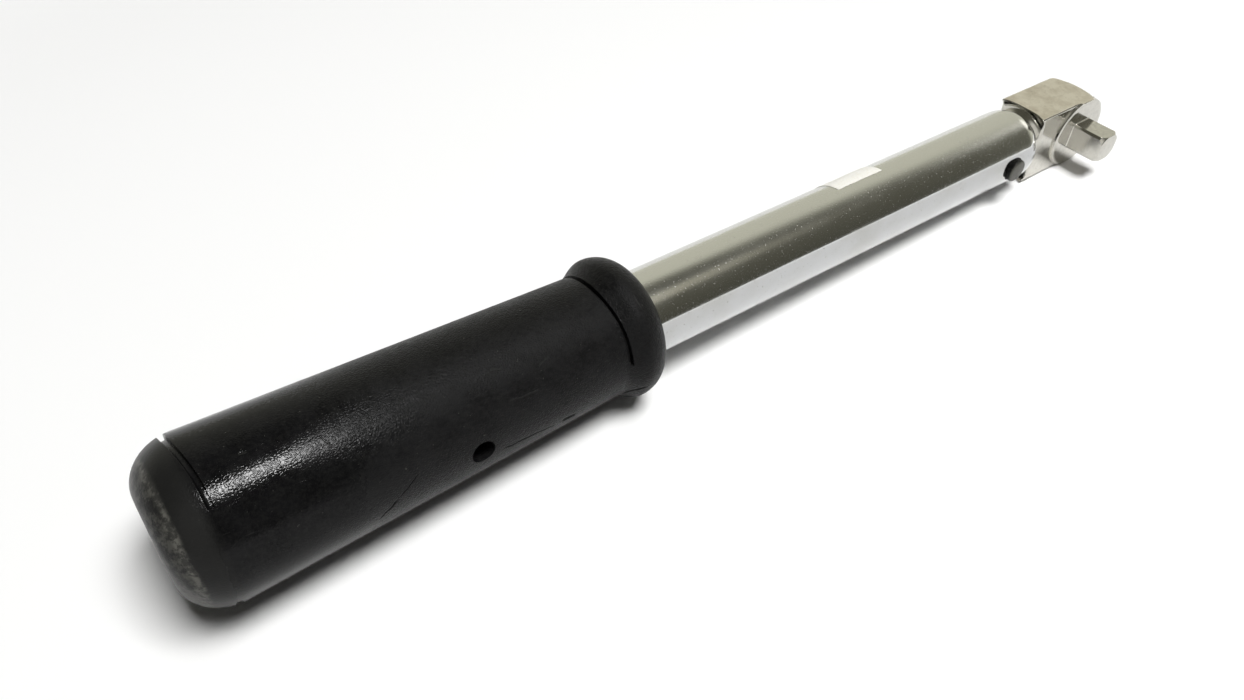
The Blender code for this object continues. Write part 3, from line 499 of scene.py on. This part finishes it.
def makeTube():
    # Profile with a quarter-ellipse lip turned about the axis, bore included, with the holes drilled through
    t = tube
    edge = t["edge"]
    drillings = [{"x": x, "side": side, "radius": radius, "reference": t["radius"]} for x, side, radius in (
        (t["pinX"], 1, t["pinHole"]), (t["pinX"], -1, t["pinHole"]), (t["lockX"], 1, t["lockHole"]))]
    offsets = np.concatenate([holeSteps(t["pinHole"]), holeSteps(t["lockHole"])])
    bend = np.arcsin(linesAround(0.0, offsets) / t["radius"])
    phi = withLines(np.radians(np.arange(-90.0, 270.0, 2.0)), np.concatenate([bend, np.pi + bend]), 0.004)
    xLines = np.concatenate([linesAround(t["pinX"], holeSteps(t["pinHole"])),
                             linesAround(t["lockX"], holeSteps(t["lockHole"]))])
    straight = np.arange(t["rear"] + 2 * edge, t["mouth"] - t["lip"][0] - edge, 3.0)
    straight = withLines(straight, xLines, 0.2)[::-1]
    turns = np.radians(np.linspace(0, 90, 24))
    lip = np.stack([t["mouth"] - t["lip"][0] * (1 - np.cos(turns)),
                    t["radius"] - t["lip"][1] * (1 - np.sin(turns))], -1)
    outer = np.stack([straight, np.full(len(straight), t["radius"])], -1)
    rear = np.array([[t["rear"] + edge, t["radius"]], [t["rear"], t["radius"] - edge],
                     [t["rear"], t["bore"]]])
    inner = np.stack([straight[::-1], np.full(len(straight), t["bore"])], -1)
    mouth = np.array([[t["mouth"] - 0.2, t["bore"]]])
    points = turned(np.concatenate([lip, outer, rear, inner, mouth]), phi)
    index = gridIndex(*points.shape[:2])
    outerRows = np.arange(len(lip), len(lip) + len(outer))
    innerRows = np.arange(len(lip) + len(outer) + len(rear), len(points) - len(mouth))
    blocks, walls = [], []
    for hole in drillings:
        outside = drill(points, outerRows, phi, hole, lambda x: np.full_like(x, t["radius"]))
        inside = drill(points, innerRows, phi, hole, lambda x: np.full_like(x, t["bore"]))
        blocks += [outside, inside]
        walls.append((outside, inside))
    quads = opened(gridFaces(index, ringRows=True), blocks)
    walls = [bridge(rimOf(index, *a), rimOf(index, *b)) for a, b in walls]
    makePiece("tube_shell", points.reshape(-1, 3), [np.concatenate([quads.reshape(-1, 4)] + walls)], chrome,
              "handle", "chrome_plate", ["tube"])


makeTube()
print("tube made")

# Grip: flare, waist, slow cone, round rear end, part-ring slots at both ends and the side hole
gripLow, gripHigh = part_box("grip")
grip = {"front": (gripHigh.x - driveX) * 1000, "rear": (gripLow.x - driveX) * 1000, "bore": 12.8, "lip": 0.6,
        "flare": 20.5, "flareLength": 7.6, "rise": 7.2, "waist": 17.65, "big": 21.05, "roundLength": 12.1,
        "roundHeight": 10.9, "access": 8.5, "step": tube["rear"] - 0.3, "hole": 3.25, "edge": 0.3,
        "plugReach": 12.0, "slotDepth": 1.4, "slotWall": 0.1, "slotFade": 1.4, "leanReach": (3.0, 9.0),
        "slots": [{"x": -208.8, "half": 0.6, "soft": 0.15, "starts": (9, 189), "sweep": 134,
                   "lean": 1.0, "leanOver": (20, 85, 138, 178)},
                  {"x": -315.0, "half": 0.8, "soft": 0.6, "starts": (52, 232), "sweep": 104,
                   "lean": 2.2, "leanOver": (10, 76, 112, 172)}]}


def gripRadius(x):
    # Cosine ease from the flare's crest to the waist, a straight cone, then a quarter ellipse at the rear
    g = grip
    crest = g["front"] - g["flareLength"]
    waistX = crest - g["rise"]
    roundX = g["rear"] + g["roundLength"]
    ease = 0.5 - 0.5 * np.cos(np.pi * np.clip((crest - x) / g["rise"], 0, 1))
    cone = g["waist"] + (g["big"] - g["waist"]) * np.clip((waistX - x) / (waistX - roundX), 0, 1)
    back = np.clip((roundX - x) / g["roundLength"], 0, 1)
    tail = g["big"] - g["roundHeight"] * (1 - np.sqrt(1 - back * back))
    flare = g["flare"] + (g["waist"] - g["flare"]) * ease
    return np.where(x > waistX, flare, np.where(x > roundX, cone, tail))


def makeGrip():
    # Profile of gripRadius with a round front lip, turned about the axis, stepped bore included
    g = grip
    edge = g["edge"]
    crest = g["front"] - g["flareLength"]
    roundX = g["rear"] + g["roundLength"]
    reference = float(gripRadius(np.array(tube["lockX"])))
    hole = {"x": tube["lockX"], "side": 1, "radius": g["hole"], "reference": reference}
    holeLines = linesAround(hole["x"], holeSteps(g["hole"]))
    bend = np.arcsin(linesAround(0.0, holeSteps(g["hole"])) / hole["reference"])
    arcs = [(start, start + slot["sweep"]) for slot in g["slots"] for start in slot["starts"]]
    ends = (np.radians(arcs).ravel() + np.pi / 2) % (2 * np.pi) - np.pi / 2
    fade = np.radians(g["slotFade"])
    endLines = np.concatenate([ends + share * fade for share in (-1.0, -0.5, 0.0, 0.5, 1.0)])
    phi = withLines(np.radians(np.arange(-90.0, 270.0, 1.5)), np.concatenate([bend, endLines]), 0.004)
    turns = np.radians(np.linspace(0, 88, 30))
    lipRadius = g["bore"] + g["lip"]
    front = np.stack([crest + g["flareLength"] * np.cos(turns),
                      lipRadius + (g["flare"] - lipRadius) * np.sin(turns)], -1)
    slotSteps = np.array([-0.5, -0.35, -0.2, -0.1, -0.05, 0.0, 0.1, 0.25])
    slotLines = np.concatenate([linesAround(s["x"], s["half"] + slotSteps) for s in g["slots"]])
    base = np.concatenate([np.linspace(crest, crest - g["rise"], 26),
                           np.arange(crest - g["rise"] - 0.8, roundX, -0.9),
                           roundX - g["roundLength"] * np.sin(np.radians(np.linspace(0, 88.5, 40)))])
    clear = holeReach * g["hole"] + 0.1
    base = base[np.abs(base - hole["x"]) > clear]
    xs = withLines(base, np.concatenate([holeLines, slotLines]), 0.06)[::-1]
    outer = np.stack([xs, gripRadius(xs)], -1)
    tailRadius = g["big"] - g["roundHeight"]
    back = np.array([[g["rear"], tailRadius], [g["rear"], g["access"] + edge],
                     [g["rear"] + edge, g["access"]], [g["step"] - g["plugReach"], g["access"]],
                     [g["step"], g["access"]], [g["step"], g["bore"]]])
    wide = np.arange(g["step"] + 2.0, g["front"] - 1.0, 8.0)
    innerX = withLines(wide[np.abs(wide - hole["x"]) > clear], holeLines, 0.3)
    inner = np.stack([innerX, np.full(len(innerX), g["bore"])], -1)
    mouth = np.array([[g["front"] - edge, g["bore"]], [g["front"], g["bore"] + edge]])
    points = turned(np.concatenate([front, outer, back, inner, mouth]), phi)
    outerRows = np.arange(len(front), len(front) + len(outer))
    innerRows = np.arange(len(front) + len(outer) + len(back), len(points) - len(mouth))
    # Slots: a flat-bottomed groove across x with a sharp front wall and a softer rear one, faded at both ends
    # of its arc
    x = points[outerRows, :, 0]
    depth = np.zeros_like(x)
    for slot in g["slots"]:
        across = 1.0 - smooth(slot["half"] - g["slotWall"], slot["half"], x - slot["x"])
        across = across * (1.0 - smooth(slot["half"] - slot["soft"], slot["half"], slot["x"] - x))
        for start in slot["starts"]:
            middle = np.radians(start + slot["sweep"] / 2)
            away = np.abs((phi - middle + np.pi) % (2 * np.pi) - np.pi)
            half = np.radians(slot["sweep"] / 2)
            depth = np.maximum(depth, across * (1.0 - smooth(half - fade, half, away))[None, :])
    # The slots lean back along their arcs: the lines around them shift along x, back again between the arcs
    shifted = x.copy()
    for slot in g["slots"]:
        turn = np.degrees(phi - np.radians(slot["starts"][0])) % 180.0
        comes, goes = slot["leanOver"][:2], slot["leanOver"][2:]
        lean = slot["lean"] * (smooth(*comes, turn) - smooth(*goes, turn))
        shifted -= lean[None, :] * (1.0 - smooth(*g["leanReach"], np.abs(x - slot["x"])))
    radius = gripRadius(shifted) - g["slotDepth"] * depth
    points[outerRows] = np.stack([shifted, -radius * np.cos(phi), radius * np.sin(phi)], axis=-1)
    points[..., 2] = np.clip(points[..., 2], (gripLow.z - axisZ) * 1000, (gripHigh.z - axisZ) * 1000)
    outside = drill(points, outerRows, phi, hole, gripRadius)
    inside = drill(points, innerRows, phi, hole, lambda value: np.full_like(value, g["bore"]))
    index = gridIndex(*points.shape[:2])
    quads = opened(gridFaces(index, ringRows=True), [outside, inside]).reshape(-1, 4)
    wall = bridge(rimOf(index, *outside), rimOf(index, *inside))
    makePiece("grip_moulding", points.reshape(-1, 3), [np.concatenate([quads, wall])], vinyl,
              "handle", "black_vinyl", ["grip"])


makeGrip()
print("grip made")

# Head: outlines about the drive axis from the square's end to the back of the block
head = {"halfHeight": 12.5, "halfThick": 9.0, "reach": 25.2, "nose": 13.75, "crown": 0.95, "boss": 1.0,
        "half": 4.7625, "length": 12.35, "corner": 0.5, "endRadius": 5.15, "chamfer": 1.35, "frontEdge": 0.65,
        "backEdge": 0.8, "bossBreak": 0.7, "crownLead": 0.45, "fillet": 0.4, "dishX": 26.7, "dishRadius": 3.0,
        "dishMiddle": 12.25, "neck": 9.4, "ballY": -16.85, "ballHole": 2.05, "ballDepth": 8.0}


def noseAt(y):
    # Crowned nose: a parabola across the thickness of block and boss, highest in its middle
    offset = head["boss"] / 2
    return head["nose"] - head["crown"] * ((y + offset) / (head["halfThick"] + offset)) ** 2


def squareReach(theta, half):
    # Distance from the axis to a square's side, cut short at its bevelled corners
    across = np.maximum(np.abs(np.cos(theta)), 1e-6)
    up = np.maximum(np.abs(np.sin(theta)), 1e-6)
    corner = (half * math.sqrt(2) - head["corner"]) * math.sqrt(2) / (across + up)
    return softMin(np.minimum(half / across, half / up), corner, 0.1)


def bossReach(theta, radius):
    # A circle cut flat at the head's top and bottom
    return softMin(radius, head["halfHeight"] / np.maximum(np.abs(np.sin(theta)), 1e-6), 0.1)


def outline(theta, y, inset):
    # Flat top and bottom, round nose in front, and a rear plane with a turned groove around the neck; the
    # groove's depth depends on the height at which it is met, so it takes a few rounds
    h = head
    up = np.maximum(np.abs(np.sin(theta)), 1e-6)
    across = np.maximum(np.abs(np.cos(theta)), 1e-6)
    flat = (h["halfHeight"] - inset) / up
    rear = np.full_like(theta, h["reach"])
    for step in range(6):
        distance = np.hypot(y, np.minimum(rear * up / across, h["halfHeight"]))
        inside = h["dishRadius"] ** 2 - (distance - h["dishMiddle"]) ** 2
        dish = h["dishX"] - np.sqrt(np.maximum(inside, 0.0))
        rear = softMin(h["reach"], dish, 0.25)
    forward = softMin(flat, noseAt(y) - inset, 0.12)
    backward = softMin(flat, (rear - inset) / across, 0.8)
    return np.where(np.cos(theta) > 0, forward, backward)


def makeHead():
    # Loops about the drive axis, each a distance for every angle, from the square's end to the block's back
    h = head
    # Finer angles at the square's corners, where nose and boss meet the flats, and at the rear corners
    clusters = [np.arange(c - 5.0, c + 5.01, 0.35) for c in (45, 135, 225, 315)]
    clusters += [np.arange(60.0, 82.0, 0.4), np.arange(278.0, 300.0, 0.4)]
    clusters += [np.arange(103.0, 114.0, 0.25), np.arange(246.0, 257.0, 0.25)]
    clusters += [np.arange(c - 4.0, c + 4.01, 0.25) for c in (153.6, 206.4)]
    base = withLines(np.arange(0.0, 360.0, 1.0), np.concatenate(clusters), 0.1)
    bend = np.degrees(np.arctan(linesAround(0.0, holeSteps(h["ballHole"])) / h["half"])) % 360.0
    theta = np.radians(withLines(base, bend, 0.08))
    bossY = -h["halfThick"] - h["boss"]
    endY = bossY - h["length"]
    loops = []

    def loop(rho, y):
        loops.append(np.stack([rho * np.cos(theta), y + 0.0 * theta, rho * np.sin(theta)], -1))

    # Turned end: a flat face, a small break, then a cone that cuts the corners only
    cornerRadius = h["half"] * math.sqrt(2) - h["corner"]
    for inset, rise in ((0.2, 0.0), (0.12, 0.01), (0.05, 0.05)):
        loop(softMin(squareReach(theta, h["half"] - inset), h["endRadius"] - inset, 0.08), endY + rise)
    for share in np.linspace(0.1, 1.05, 10):
        cone = h["endRadius"] + (cornerRadius - h["endRadius"]) * share
        loop(softMin(squareReach(theta, h["half"]), cone, 0.08), endY + h["chamfer"] * share)
    shaft = np.linspace(endY + h["chamfer"] + 0.3, bossY - h["fillet"] - 0.05, 16)
    shaft = withLines(shaft, linesAround(h["ballY"], holeSteps(h["ballHole"])), 0.12)
    firstShaft = len(loops)
    for y in shaft:
        loop(squareReach(theta, h["half"]), y)
    for turn in np.radians(np.linspace(0, 90, 6)):
        widened = h["half"] + h["fillet"] * (1 - np.cos(turn))
        loop(squareReach(theta, widened), bossY - h["fillet"] * (1 - np.sin(turn)))
    foot = squareReach(theta, h["half"] + h["fillet"])
    rim = bossReach(theta, noseAt(bossY) - h["bossBreak"])
    for share in np.linspace(0.08, 1.0, 8):
        loop(foot + (rim - foot) * share, bossY)
    for share in np.linspace(0.15, 1.0, 6):
        y = bossY + 0.4 * h["bossBreak"] * share
        loop(bossReach(theta, noseAt(y) - h["bossBreak"] * (1 - share)), y)
    # Front face behind the boss; where the boss runs out to the nose the same loops just follow the crown
    faceY = -h["halfThick"]
    bossFoot = bossReach(theta, noseAt(faceY))
    gap = outline(theta, faceY, 0.0) - bossFoot
    apart = smooth(0.0, 0.08, gap)
    lead = h["crownLead"]
    # The face's rounded edge narrows to a sharp one where the boss comes near it
    edge = np.minimum(h["frontEdge"], 0.5 * np.maximum(gap, 0.0))
    steps = [(share, edge, faceY) for share in np.linspace(0.0, 1.0, 9)]
    steps += [(1.0, edge * (1 - np.sin(t)), faceY + edge * (1 - np.cos(t)))
              for t in np.radians(np.linspace(15, 90, 6))]
    for i, (share, inset, y) in enumerate(steps):
        noseY = faceY - lead + (lead + h["frontEdge"]) * i / (len(steps) - 1)
        rear = bossFoot + share * (outline(theta, y, inset) - bossFoot)
        rho = apart * rear + (1 - apart) * np.where(np.cos(theta) > 0, outline(theta, noseY, 0.0), bossFoot)
        loop(rho, apart * y + (1 - apart) * noseY)
    for y in np.linspace(faceY + h["frontEdge"] + 0.4, h["halfThick"] - h["backEdge"], 40):
        loop(outline(theta, y, 0.0), y)
    for turn in np.radians(np.linspace(10, 90, 9)):
        y = h["halfThick"] - h["backEdge"] * (1 - np.sin(turn))
        loop(outline(theta, y, h["backEdge"] * (1 - np.cos(turn))), y)
    points = np.stack(loops)
    # Blind hole for the ball in the square's front face, which spans a quarter of the turn
    rows = np.arange(firstShaft, firstShaft + len(shaft))
    u, v = points[rows, :, 1] - h["ballY"], points[rows, :, 2]
    front = np.cos(theta) > 0.72
    bentU, bentV = roundTheHole(u, v, h["ballHole"])
    points[rows, :, 1] = np.where(front, h["ballY"] + bentU, points[rows, :, 1])
    points[rows, :, 2] = np.where(front, bentV, points[rows, :, 2])
    inRow = rows[np.abs(u[:, 0]) <= h["ballHole"] + 1e-5]
    z = h["half"] * np.tan(theta)
    inColumn = np.flatnonzero(front & (np.abs(z) <= h["ballHole"] + 1e-5))
    inColumn = inColumn[np.argsort(z[inColumn])]
    index = gridIndex(*points.shape[:2])
    quads = gridFaces(index)
    inBlock = np.isin(quads, index[np.ix_(inRow, inColumn)]).all(axis=-1)
    sunkIndex = index.size + np.arange(len(inRow) * len(inColumn)).reshape(len(inRow), len(inColumn))
    sunk = points[np.ix_(inRow, inColumn)].copy()
    sunk[..., 0] = h["half"] - h["ballDepth"]
    floor = gridFaces(sunkIndex, ringColumns=False).reshape(-1, 4)
    wall = bridge(rimOf(index, inRow, inColumn),
                  rimOf(sunkIndex, np.arange(len(inRow)), np.arange(len(inColumn))))
    faces = [np.concatenate([quads[~inBlock].reshape(-1, 4), floor, wall]), index[[0, -1]]]
    makePiece("head_block", np.concatenate([points.reshape(-1, 3), sunk.reshape(-1, 3)]), faces, headChrome,
              "head", "chrome_forging", ["drive_head"])


makeHead()
print("head made")

# Neck and lever: round neck on the pin, tapering to the flat-sided lever with the block's pocket at its end
lever = {"halfWidth": 5.5, "halfHeight": 6.13, "end": -102.2, "floor": -100.2, "pocketWidth": 4.3,
         "pocketHeight": 4.9, "neckRear": -50.2, "neckInset": 0.9, "insetOver": (-28.2, -25.4),
         "taperEnd": -54.1, "edge": 0.3}


def makeLever():
    # Round rings of the neck, then rounded rectangles of the lever, folded in at the end for the pocket
    n = lever
    hole = {"x": tube["pinX"], "radius": tube["pinHole"], "reference": head["neck"]}
    bend = np.arcsin(linesAround(0.0, holeSteps(hole["radius"])) / hole["reference"])
    phi = withLines(np.radians(np.arange(-90.0, 270.0, 2.5)), np.concatenate([bend, np.pi + bend]), 0.006)
    drilled = withLines(np.arange(-49.0, -25.0, 0.7), linesAround(hole["x"], holeSteps(hole["radius"])), 0.1)
    xs = np.concatenate([[-21.0, -23.5], drilled[::-1], [n["neckRear"]]])
    # The neck is eased in where it runs into the block, to stay inside the block's faces
    radius = head["neck"] - n["neckInset"] * smooth(*n["insetOver"], xs)
    neck = turned(np.stack([xs, radius], -1), phi)

    def boxed(x, halfWidth, halfHeight, order):
        # Rounded rectangle as a high-order oval in the same angles
        c, s = np.abs(np.cos(phi)) + 1e-9, np.abs(np.sin(phi)) + 1e-9
        rho = ((c / halfWidth) ** order + (s / halfHeight) ** order) ** (-1 / order)
        return np.stack([np.full(len(phi), x), -rho * np.cos(phi), rho * np.sin(phi)], -1)[None]

    sides = (n["taperEnd"], -70.0, -90.0, n["end"] + n["edge"])
    tail = [boxed(x, n["halfWidth"], n["halfHeight"], 14.0) for x in sides]
    tail.append(boxed(n["end"], n["halfWidth"] - n["edge"], n["halfHeight"] - n["edge"], 14.0))
    tail += [boxed(x, n["pocketWidth"], n["pocketHeight"], 30.0) for x in (n["end"], n["floor"])]
    points = np.concatenate([neck] + tail)
    rows = np.arange(2, len(xs) - 1)
    blocks = [drill(points, rows, phi, {**hole, "side": side}, lambda x: np.full_like(x, head["neck"]))
              for side in (1, -1)]
    index = gridIndex(*points.shape[:2])
    quads = opened(gridFaces(index), blocks).reshape(-1, 4)
    wall = bridge(rimOf(index, *blocks[0]), rimOf(index, *blocks[1]))
    faces = [np.concatenate([quads, wall]), index[[0, -1]]]
    makePiece("head_lever", points.reshape(-1, 3), faces, neckSteel, "head", "chrome_forging", ["drive_head"])


makeLever()
print("lever made")


def alongY(profile, x, columns):
    # Profile of (distance towards -Y, radius) turned about an axis through x
    a, r = np.asarray(profile, float).T
    turn = np.linspace(0, 2 * np.pi, columns, endpoint=False)
    return np.stack([x + r[:, None] * np.cos(turn), np.repeat(-a[:, None], columns, 1),
                     r[:, None] * np.sin(turn)], axis=-1)


# Pivot pin: black pin with a ring line near its proud, slightly domed end
pin = {"radius": 3.95, "front": 14.25, "rear": -12.2, "dome": 0.12, "domeRadius": 3.0, "edge": 0.68,
       "ring": (12.65, 12.95), "ringDepth": 0.15, "ringSlope": 0.05, "rearEdge": (0.6, 0.55)}


def makePin():
    # A parabola for the dome, a quarter ellipse for the edge, then straight lines, turned about the axis
    p = pin
    radius, flat, centre = p["radius"], p["domeRadius"], 0.05
    dome = [(p["front"] - p["dome"] * (r / flat) ** 2, r) for r in np.linspace(centre, flat, 10)]
    turns = np.radians(np.linspace(8, 90, 7))
    edge = [(p["front"] - p["dome"] - p["edge"] * (1 - math.cos(t)), flat + (radius - flat) * math.sin(t))
            for t in turns]
    low, high = p["ring"]
    bottom = radius - p["ringDepth"]
    ring = [(high, radius), (high - p["ringSlope"], bottom), (low + p["ringSlope"], bottom), (low, radius)]
    along, down = p["rearEdge"]
    tail = [(p["rear"] + along, radius), (p["rear"], radius - down), (p["rear"], centre)]
    points = alongY(dome + edge + ring + tail, tube["pinX"], 96)
    makePiece("pivot_pin_turned", *capped(points), oxide, "handle", "black_oxide_steel", ["pivot_pin"])


makePin()

# Detent ball, standing proud of the square's front face
ball = {"proud": 0.8, "radius": 1.75}


def makeBall():
    # A half circle turned about X
    turns = np.radians(np.linspace(1.5, 178.5, 40))
    centre = head["half"] + ball["proud"] - ball["radius"]
    profile = np.stack([centre + ball["radius"] * np.cos(turns), ball["radius"] * np.sin(turns)], -1)
    points = turned(profile, np.linspace(0, 2 * np.pi, 64, endpoint=False))
    points[..., 1] += head["ballY"]
    makePiece("detent_ball_ground", *capped(points), looks["hardened_steel"],
              "detent", "hardened_steel", ["detent_ball"])


makeBall()

# Springs: round wire on a coil along X, with a closed turn at each end and an even pitch between them
springs = {"torque": {"front": -126.9, "length": 72.0, "wire": 3.2, "coil": 15.2, "turns": 11.0,
                      "closed": 3.8, "y": 0.0},
           "detent": {"front": 1.7625, "length": 4.7, "wire": 0.4, "coil": 2.6, "turns": 4.0, "closed": 0.88,
                      "y": head["ballY"]}}


def makeSpring(name, spring, shares, bodies, node):
    # A circle carried along the helix from one share of its length to another
    s = springs[spring]
    even = (s["length"] - s["wire"] - 2 * s["closed"]) / (s["turns"] - 2)
    first, last = min(shares) * s["turns"], max(shares) * s["turns"]
    turn = np.linspace(first, last, round((last - first) * 48) + 1)
    x = s["front"] - s["wire"] / 2 - even * np.clip(turn - 1, 0, s["turns"] - 2)
    x -= s["closed"] * (np.clip(turn, 0, 1) + np.clip(turn - s["turns"] + 1, 0, 1))
    angle = 2 * np.pi * turn
    out = np.stack([0 * turn, np.sin(angle), np.cos(angle)], -1)
    path = np.stack([x, s["y"] + 0 * turn, 0 * turn], -1) + s["coil"] / 2 * out
    along = np.gradient(path, axis=0)
    side = np.cross(along / np.linalg.norm(along, axis=1)[:, None], out)
    around = np.linspace(0, 2 * np.pi, 16, endpoint=False)[None, :, None]
    points = path[:, None] + s["wire"] / 2 * (np.cos(around) * out[:, None] + np.sin(around) * side[:, None])
    ends = [(s["front"] - share * s["length"], s["y"], 0.0) for share in shares]
    makePiece(name, *capped(points), looks["spring_steel"], (*bodies, *ends), "spring_steel", [node])


makeSpring("torque_spring_front", "torque", (0.0, 0.5), ("plunger", "handle"), "torque_spring")
makeSpring("torque_spring_rear", "torque", (0.5, 1.0), ("handle", "nut"), "torque_spring")
makeSpring("detent_spring_wire", "detent", (1.0, 0.0), ("head", "detent"), "detent_spring")
print("springs made")

# Tape: a strip of white tape around the top and back of the tube
tape = {"front": -96.1, "rear": -115.7, "start": 94.0, "end": 150.0, "under": 0.01, "thickness": 0.12}


def makeTape():
    # Two sheets at the tube's radius and a little more, joined along their rims
    phi = np.radians(np.linspace(tape["start"], tape["end"], 40))
    x = np.linspace(tape["rear"], tape["front"], 24)
    sheets = [turned(np.stack([x, np.full(len(x), tube["radius"] + lift)], -1), phi)
              for lift in (tape["thickness"], tape["under"])]
    points = np.concatenate([s.reshape(-1, 3) for s in sheets])
    upper = gridIndex(len(x), len(phi))
    lower = upper + upper.size
    rows, columns = np.arange(len(x)), np.arange(len(phi))
    rim = bridge(rimOf(upper, rows, columns), rimOf(lower, rows, columns))
    faces = np.concatenate([gridFaces(g, ringColumns=False).reshape(-1, 4) for g in (upper, lower)] + [rim])
    makePiece("tube_tape", points, [faces], paper, "handle", "chrome_plate")


makeTape()
print("pin, ball and tape made")

# Inside pieces stay as they are, with softened shading and a material of their own
slotOf = {part["node"]: part["material_slot"] for part in frame["record"]["subparts"]}
for name, node in frame["nodes"].items():
    node.data.materials.clear()
    node.data.materials.append(looks[slotOf[name]])
    node.data.polygons.foreach_set("use_smooth", np.ones(len(node.data.polygons), bool))
    weld = node.modifiers.new("weld", "WELD")
    weld.merge_threshold = 0.001 * mm
    split = node.modifiers.new("split", "EDGE_SPLIT")
    split.split_angle = math.radians(35)
print("inside pieces dressed")

# Floor: touches the flare and the head's flat underside, on which the wrench lies
ground = {"flareX": -203.2, "flareZ": -20.5, "headX": 2.8, "headZ": -12.5, "gap": 0.05, "middle": -150.0,
          "half": 3000.0, "fadeOver": (0.3, 1.1), "glow": (0.01, 1.0)}
white = (1.0, 1.0, 1.0, 1.0)


def seenRays(add):
    # 1 for rays that show a surface straight, in metal or through glass, and 0 for rays that only carry light
    rays = add("LightPath").node.outputs
    seen = add("Math", (rays["Is Camera Ray"], rays["Is Glossy Ray"]), operation="MAXIMUM")
    return add("Math", (seen, rays["Is Transmission Ray"]), operation="MAXIMUM")


def makeFloor():
    # White painted table, matt, which fades into the white background where it is seen from afar
    slope = (ground["headZ"] - ground["flareZ"]) / (ground["headX"] - ground["flareX"])
    size = ground["half"]
    xs = [ground["middle"] + x for x in (-size, size, size, -size)]
    corners = [(x, y, ground["flareZ"] - ground["gap"] + slope * (x - ground["flareX"]))
               for x, y in zip(xs, (-size, -size, size, size))]
    mesh = bpy.data.meshes.new("floor")
    mesh.from_pydata([tuple(p) for p in toWorld(corners)], [], [(0, 1, 2, 3)])
    material, shader, add, place = newMaterial("white_table", {
        "Base Color": linear("#fafaf9"), "Roughness": 0.8, "Specular IOR Level": 0.1,
        "Emission Color": white})
    middle = Vector(toWorld([(ground["middle"], 0.0, 0.0)])[0])
    away = add("VectorMath", (place, middle), "Value", operation="DISTANCE")
    fade = add("MapRange", (away, *ground["fadeOver"], *ground["glow"]), **eased)
    glow = add("Math", (seenRays(add), fade), operation="MULTIPLY")
    setSockets(shader, {"Emission Strength": glow})
    mesh.materials.append(material)
    floor = newObject("floor", mesh)


makeFloor()

# Camera: placed by the tube's and grip's outlines in the photograph
view = {"place": (-325.06, -159.76, 184.52), "right": (0.8047, -0.5925, 0.03742),
        "forward": (0.44862, 0.56559, -0.69199), "focal": 982.9, "width": 1244.0, "sensor": 36.0}


def makeCamera():
    forward = Vector(view["forward"]).normalized()
    right = Vector(view["right"])
    right = (right - forward * right.dot(forward)).normalized()
    up = right.cross(forward)
    data = bpy.data.cameras.new("camera")
    data.sensor_fit = "HORIZONTAL"
    data.sensor_width = view["sensor"]
    data.lens = view["sensor"] * view["focal"] / view["width"]
    data.clip_start, data.clip_end = 0.01, 20.0
    camera = newObject("camera", data)
    turn = Matrix((right, up, -forward)).transposed().to_4x4()
    camera.matrix_world = Matrix.Translation(Vector(toWorld([view["place"]])[0])) @ turn
    bpy.context.scene.camera = camera


makeCamera()

# Light: a lamp and a wide cloth overhead, in a room pale behind the wrench and dim on the viewer's side.
# A part of the room has its colour, brightness and direction, and how near to that it begins and is full.
light = {"dim": "#5d5c52", "ambient": 0.06,
         "room": [("#e1e0d1", 1.0, (0.529, 0.647, -0.549), (-0.13, 0.20)),
                  ("#b9b5a4", 1.0, (0.418, -0.353, 0.837), (0.966, 0.998)),
                  ("#f6f5f0", 1.0, (-0.6, -0.6, 0.53), (0.78, 0.95)),
                  ("#fffdf6", 1.8, (0.892, -0.04, 0.45), (0.976, 0.993))],
         "target": (-200.0, 0.0, 0.0), "from": (0.11, -0.30, 0.94), "away": 2.4,
         "lamps": {"overhead": {"size": (0.45, 0.34), "power": 46.0, "mirrored": True},
                   "overhead_cloth": {"size": (1.10, 0.85), "power": 69.0, "mirrored": False}}}


def makeLight():
    world = bpy.data.worlds.new("studio")
    world.use_nodes = True
    bpy.context.scene.world = world
    add = partial(addNode, world.node_tree)
    direction = add("TexCoord", out="Generated")
    room = linear(light["dim"])
    for colour, brightness, towards, nearness in light["room"]:
        share = add("VectorMath", (direction, towards), "Value", operation="DOT_PRODUCT")
        share = add("MapRange", (share, *nearness), **eased)
        colour = tuple(brightness * c for c in linear(colour))
        room = add("Mix", {0: share, 6: room, 7: colour}, 2, data_type="RGBA")
    room = add("Mix", {0: add("LightPath", out="Is Camera Ray"), 6: room, 7: white}, 2, data_type="RGBA")
    strength = add("MapRange", (seenRays(add), 0.0, 1.0, light["ambient"], 1.0), **eased)
    setSockets(world.node_tree.nodes["Background"], {"Color": room, "Strength": strength})
    # The lamp is what the chrome and the vinyl mirror; the wide cloth before it lights all that is matt
    target = Vector(toWorld([light["target"]])[0])
    away = Vector(light["from"]).normalized()
    for name, kind in light["lamps"].items():
        data = bpy.data.lights.new(name, "AREA")
        data.shape = "RECTANGLE"
        data.size, data.size_y = kind["size"]
        data.energy = kind["power"]
        lamp = newObject(name, data)
        lamp.visible_diffuse = not kind["mirrored"]
        lamp.visible_glossy = kind["mirrored"]
        lamp.location = target + away * light["away"]
        lamp.rotation_mode = "QUATERNION"
        lamp.rotation_quaternion = (-away).to_track_quat("-Z", "Y")


makeLight()
bpy.context.scene.view_settings.view_transform = "Standard"
print("floor, camera and light made")
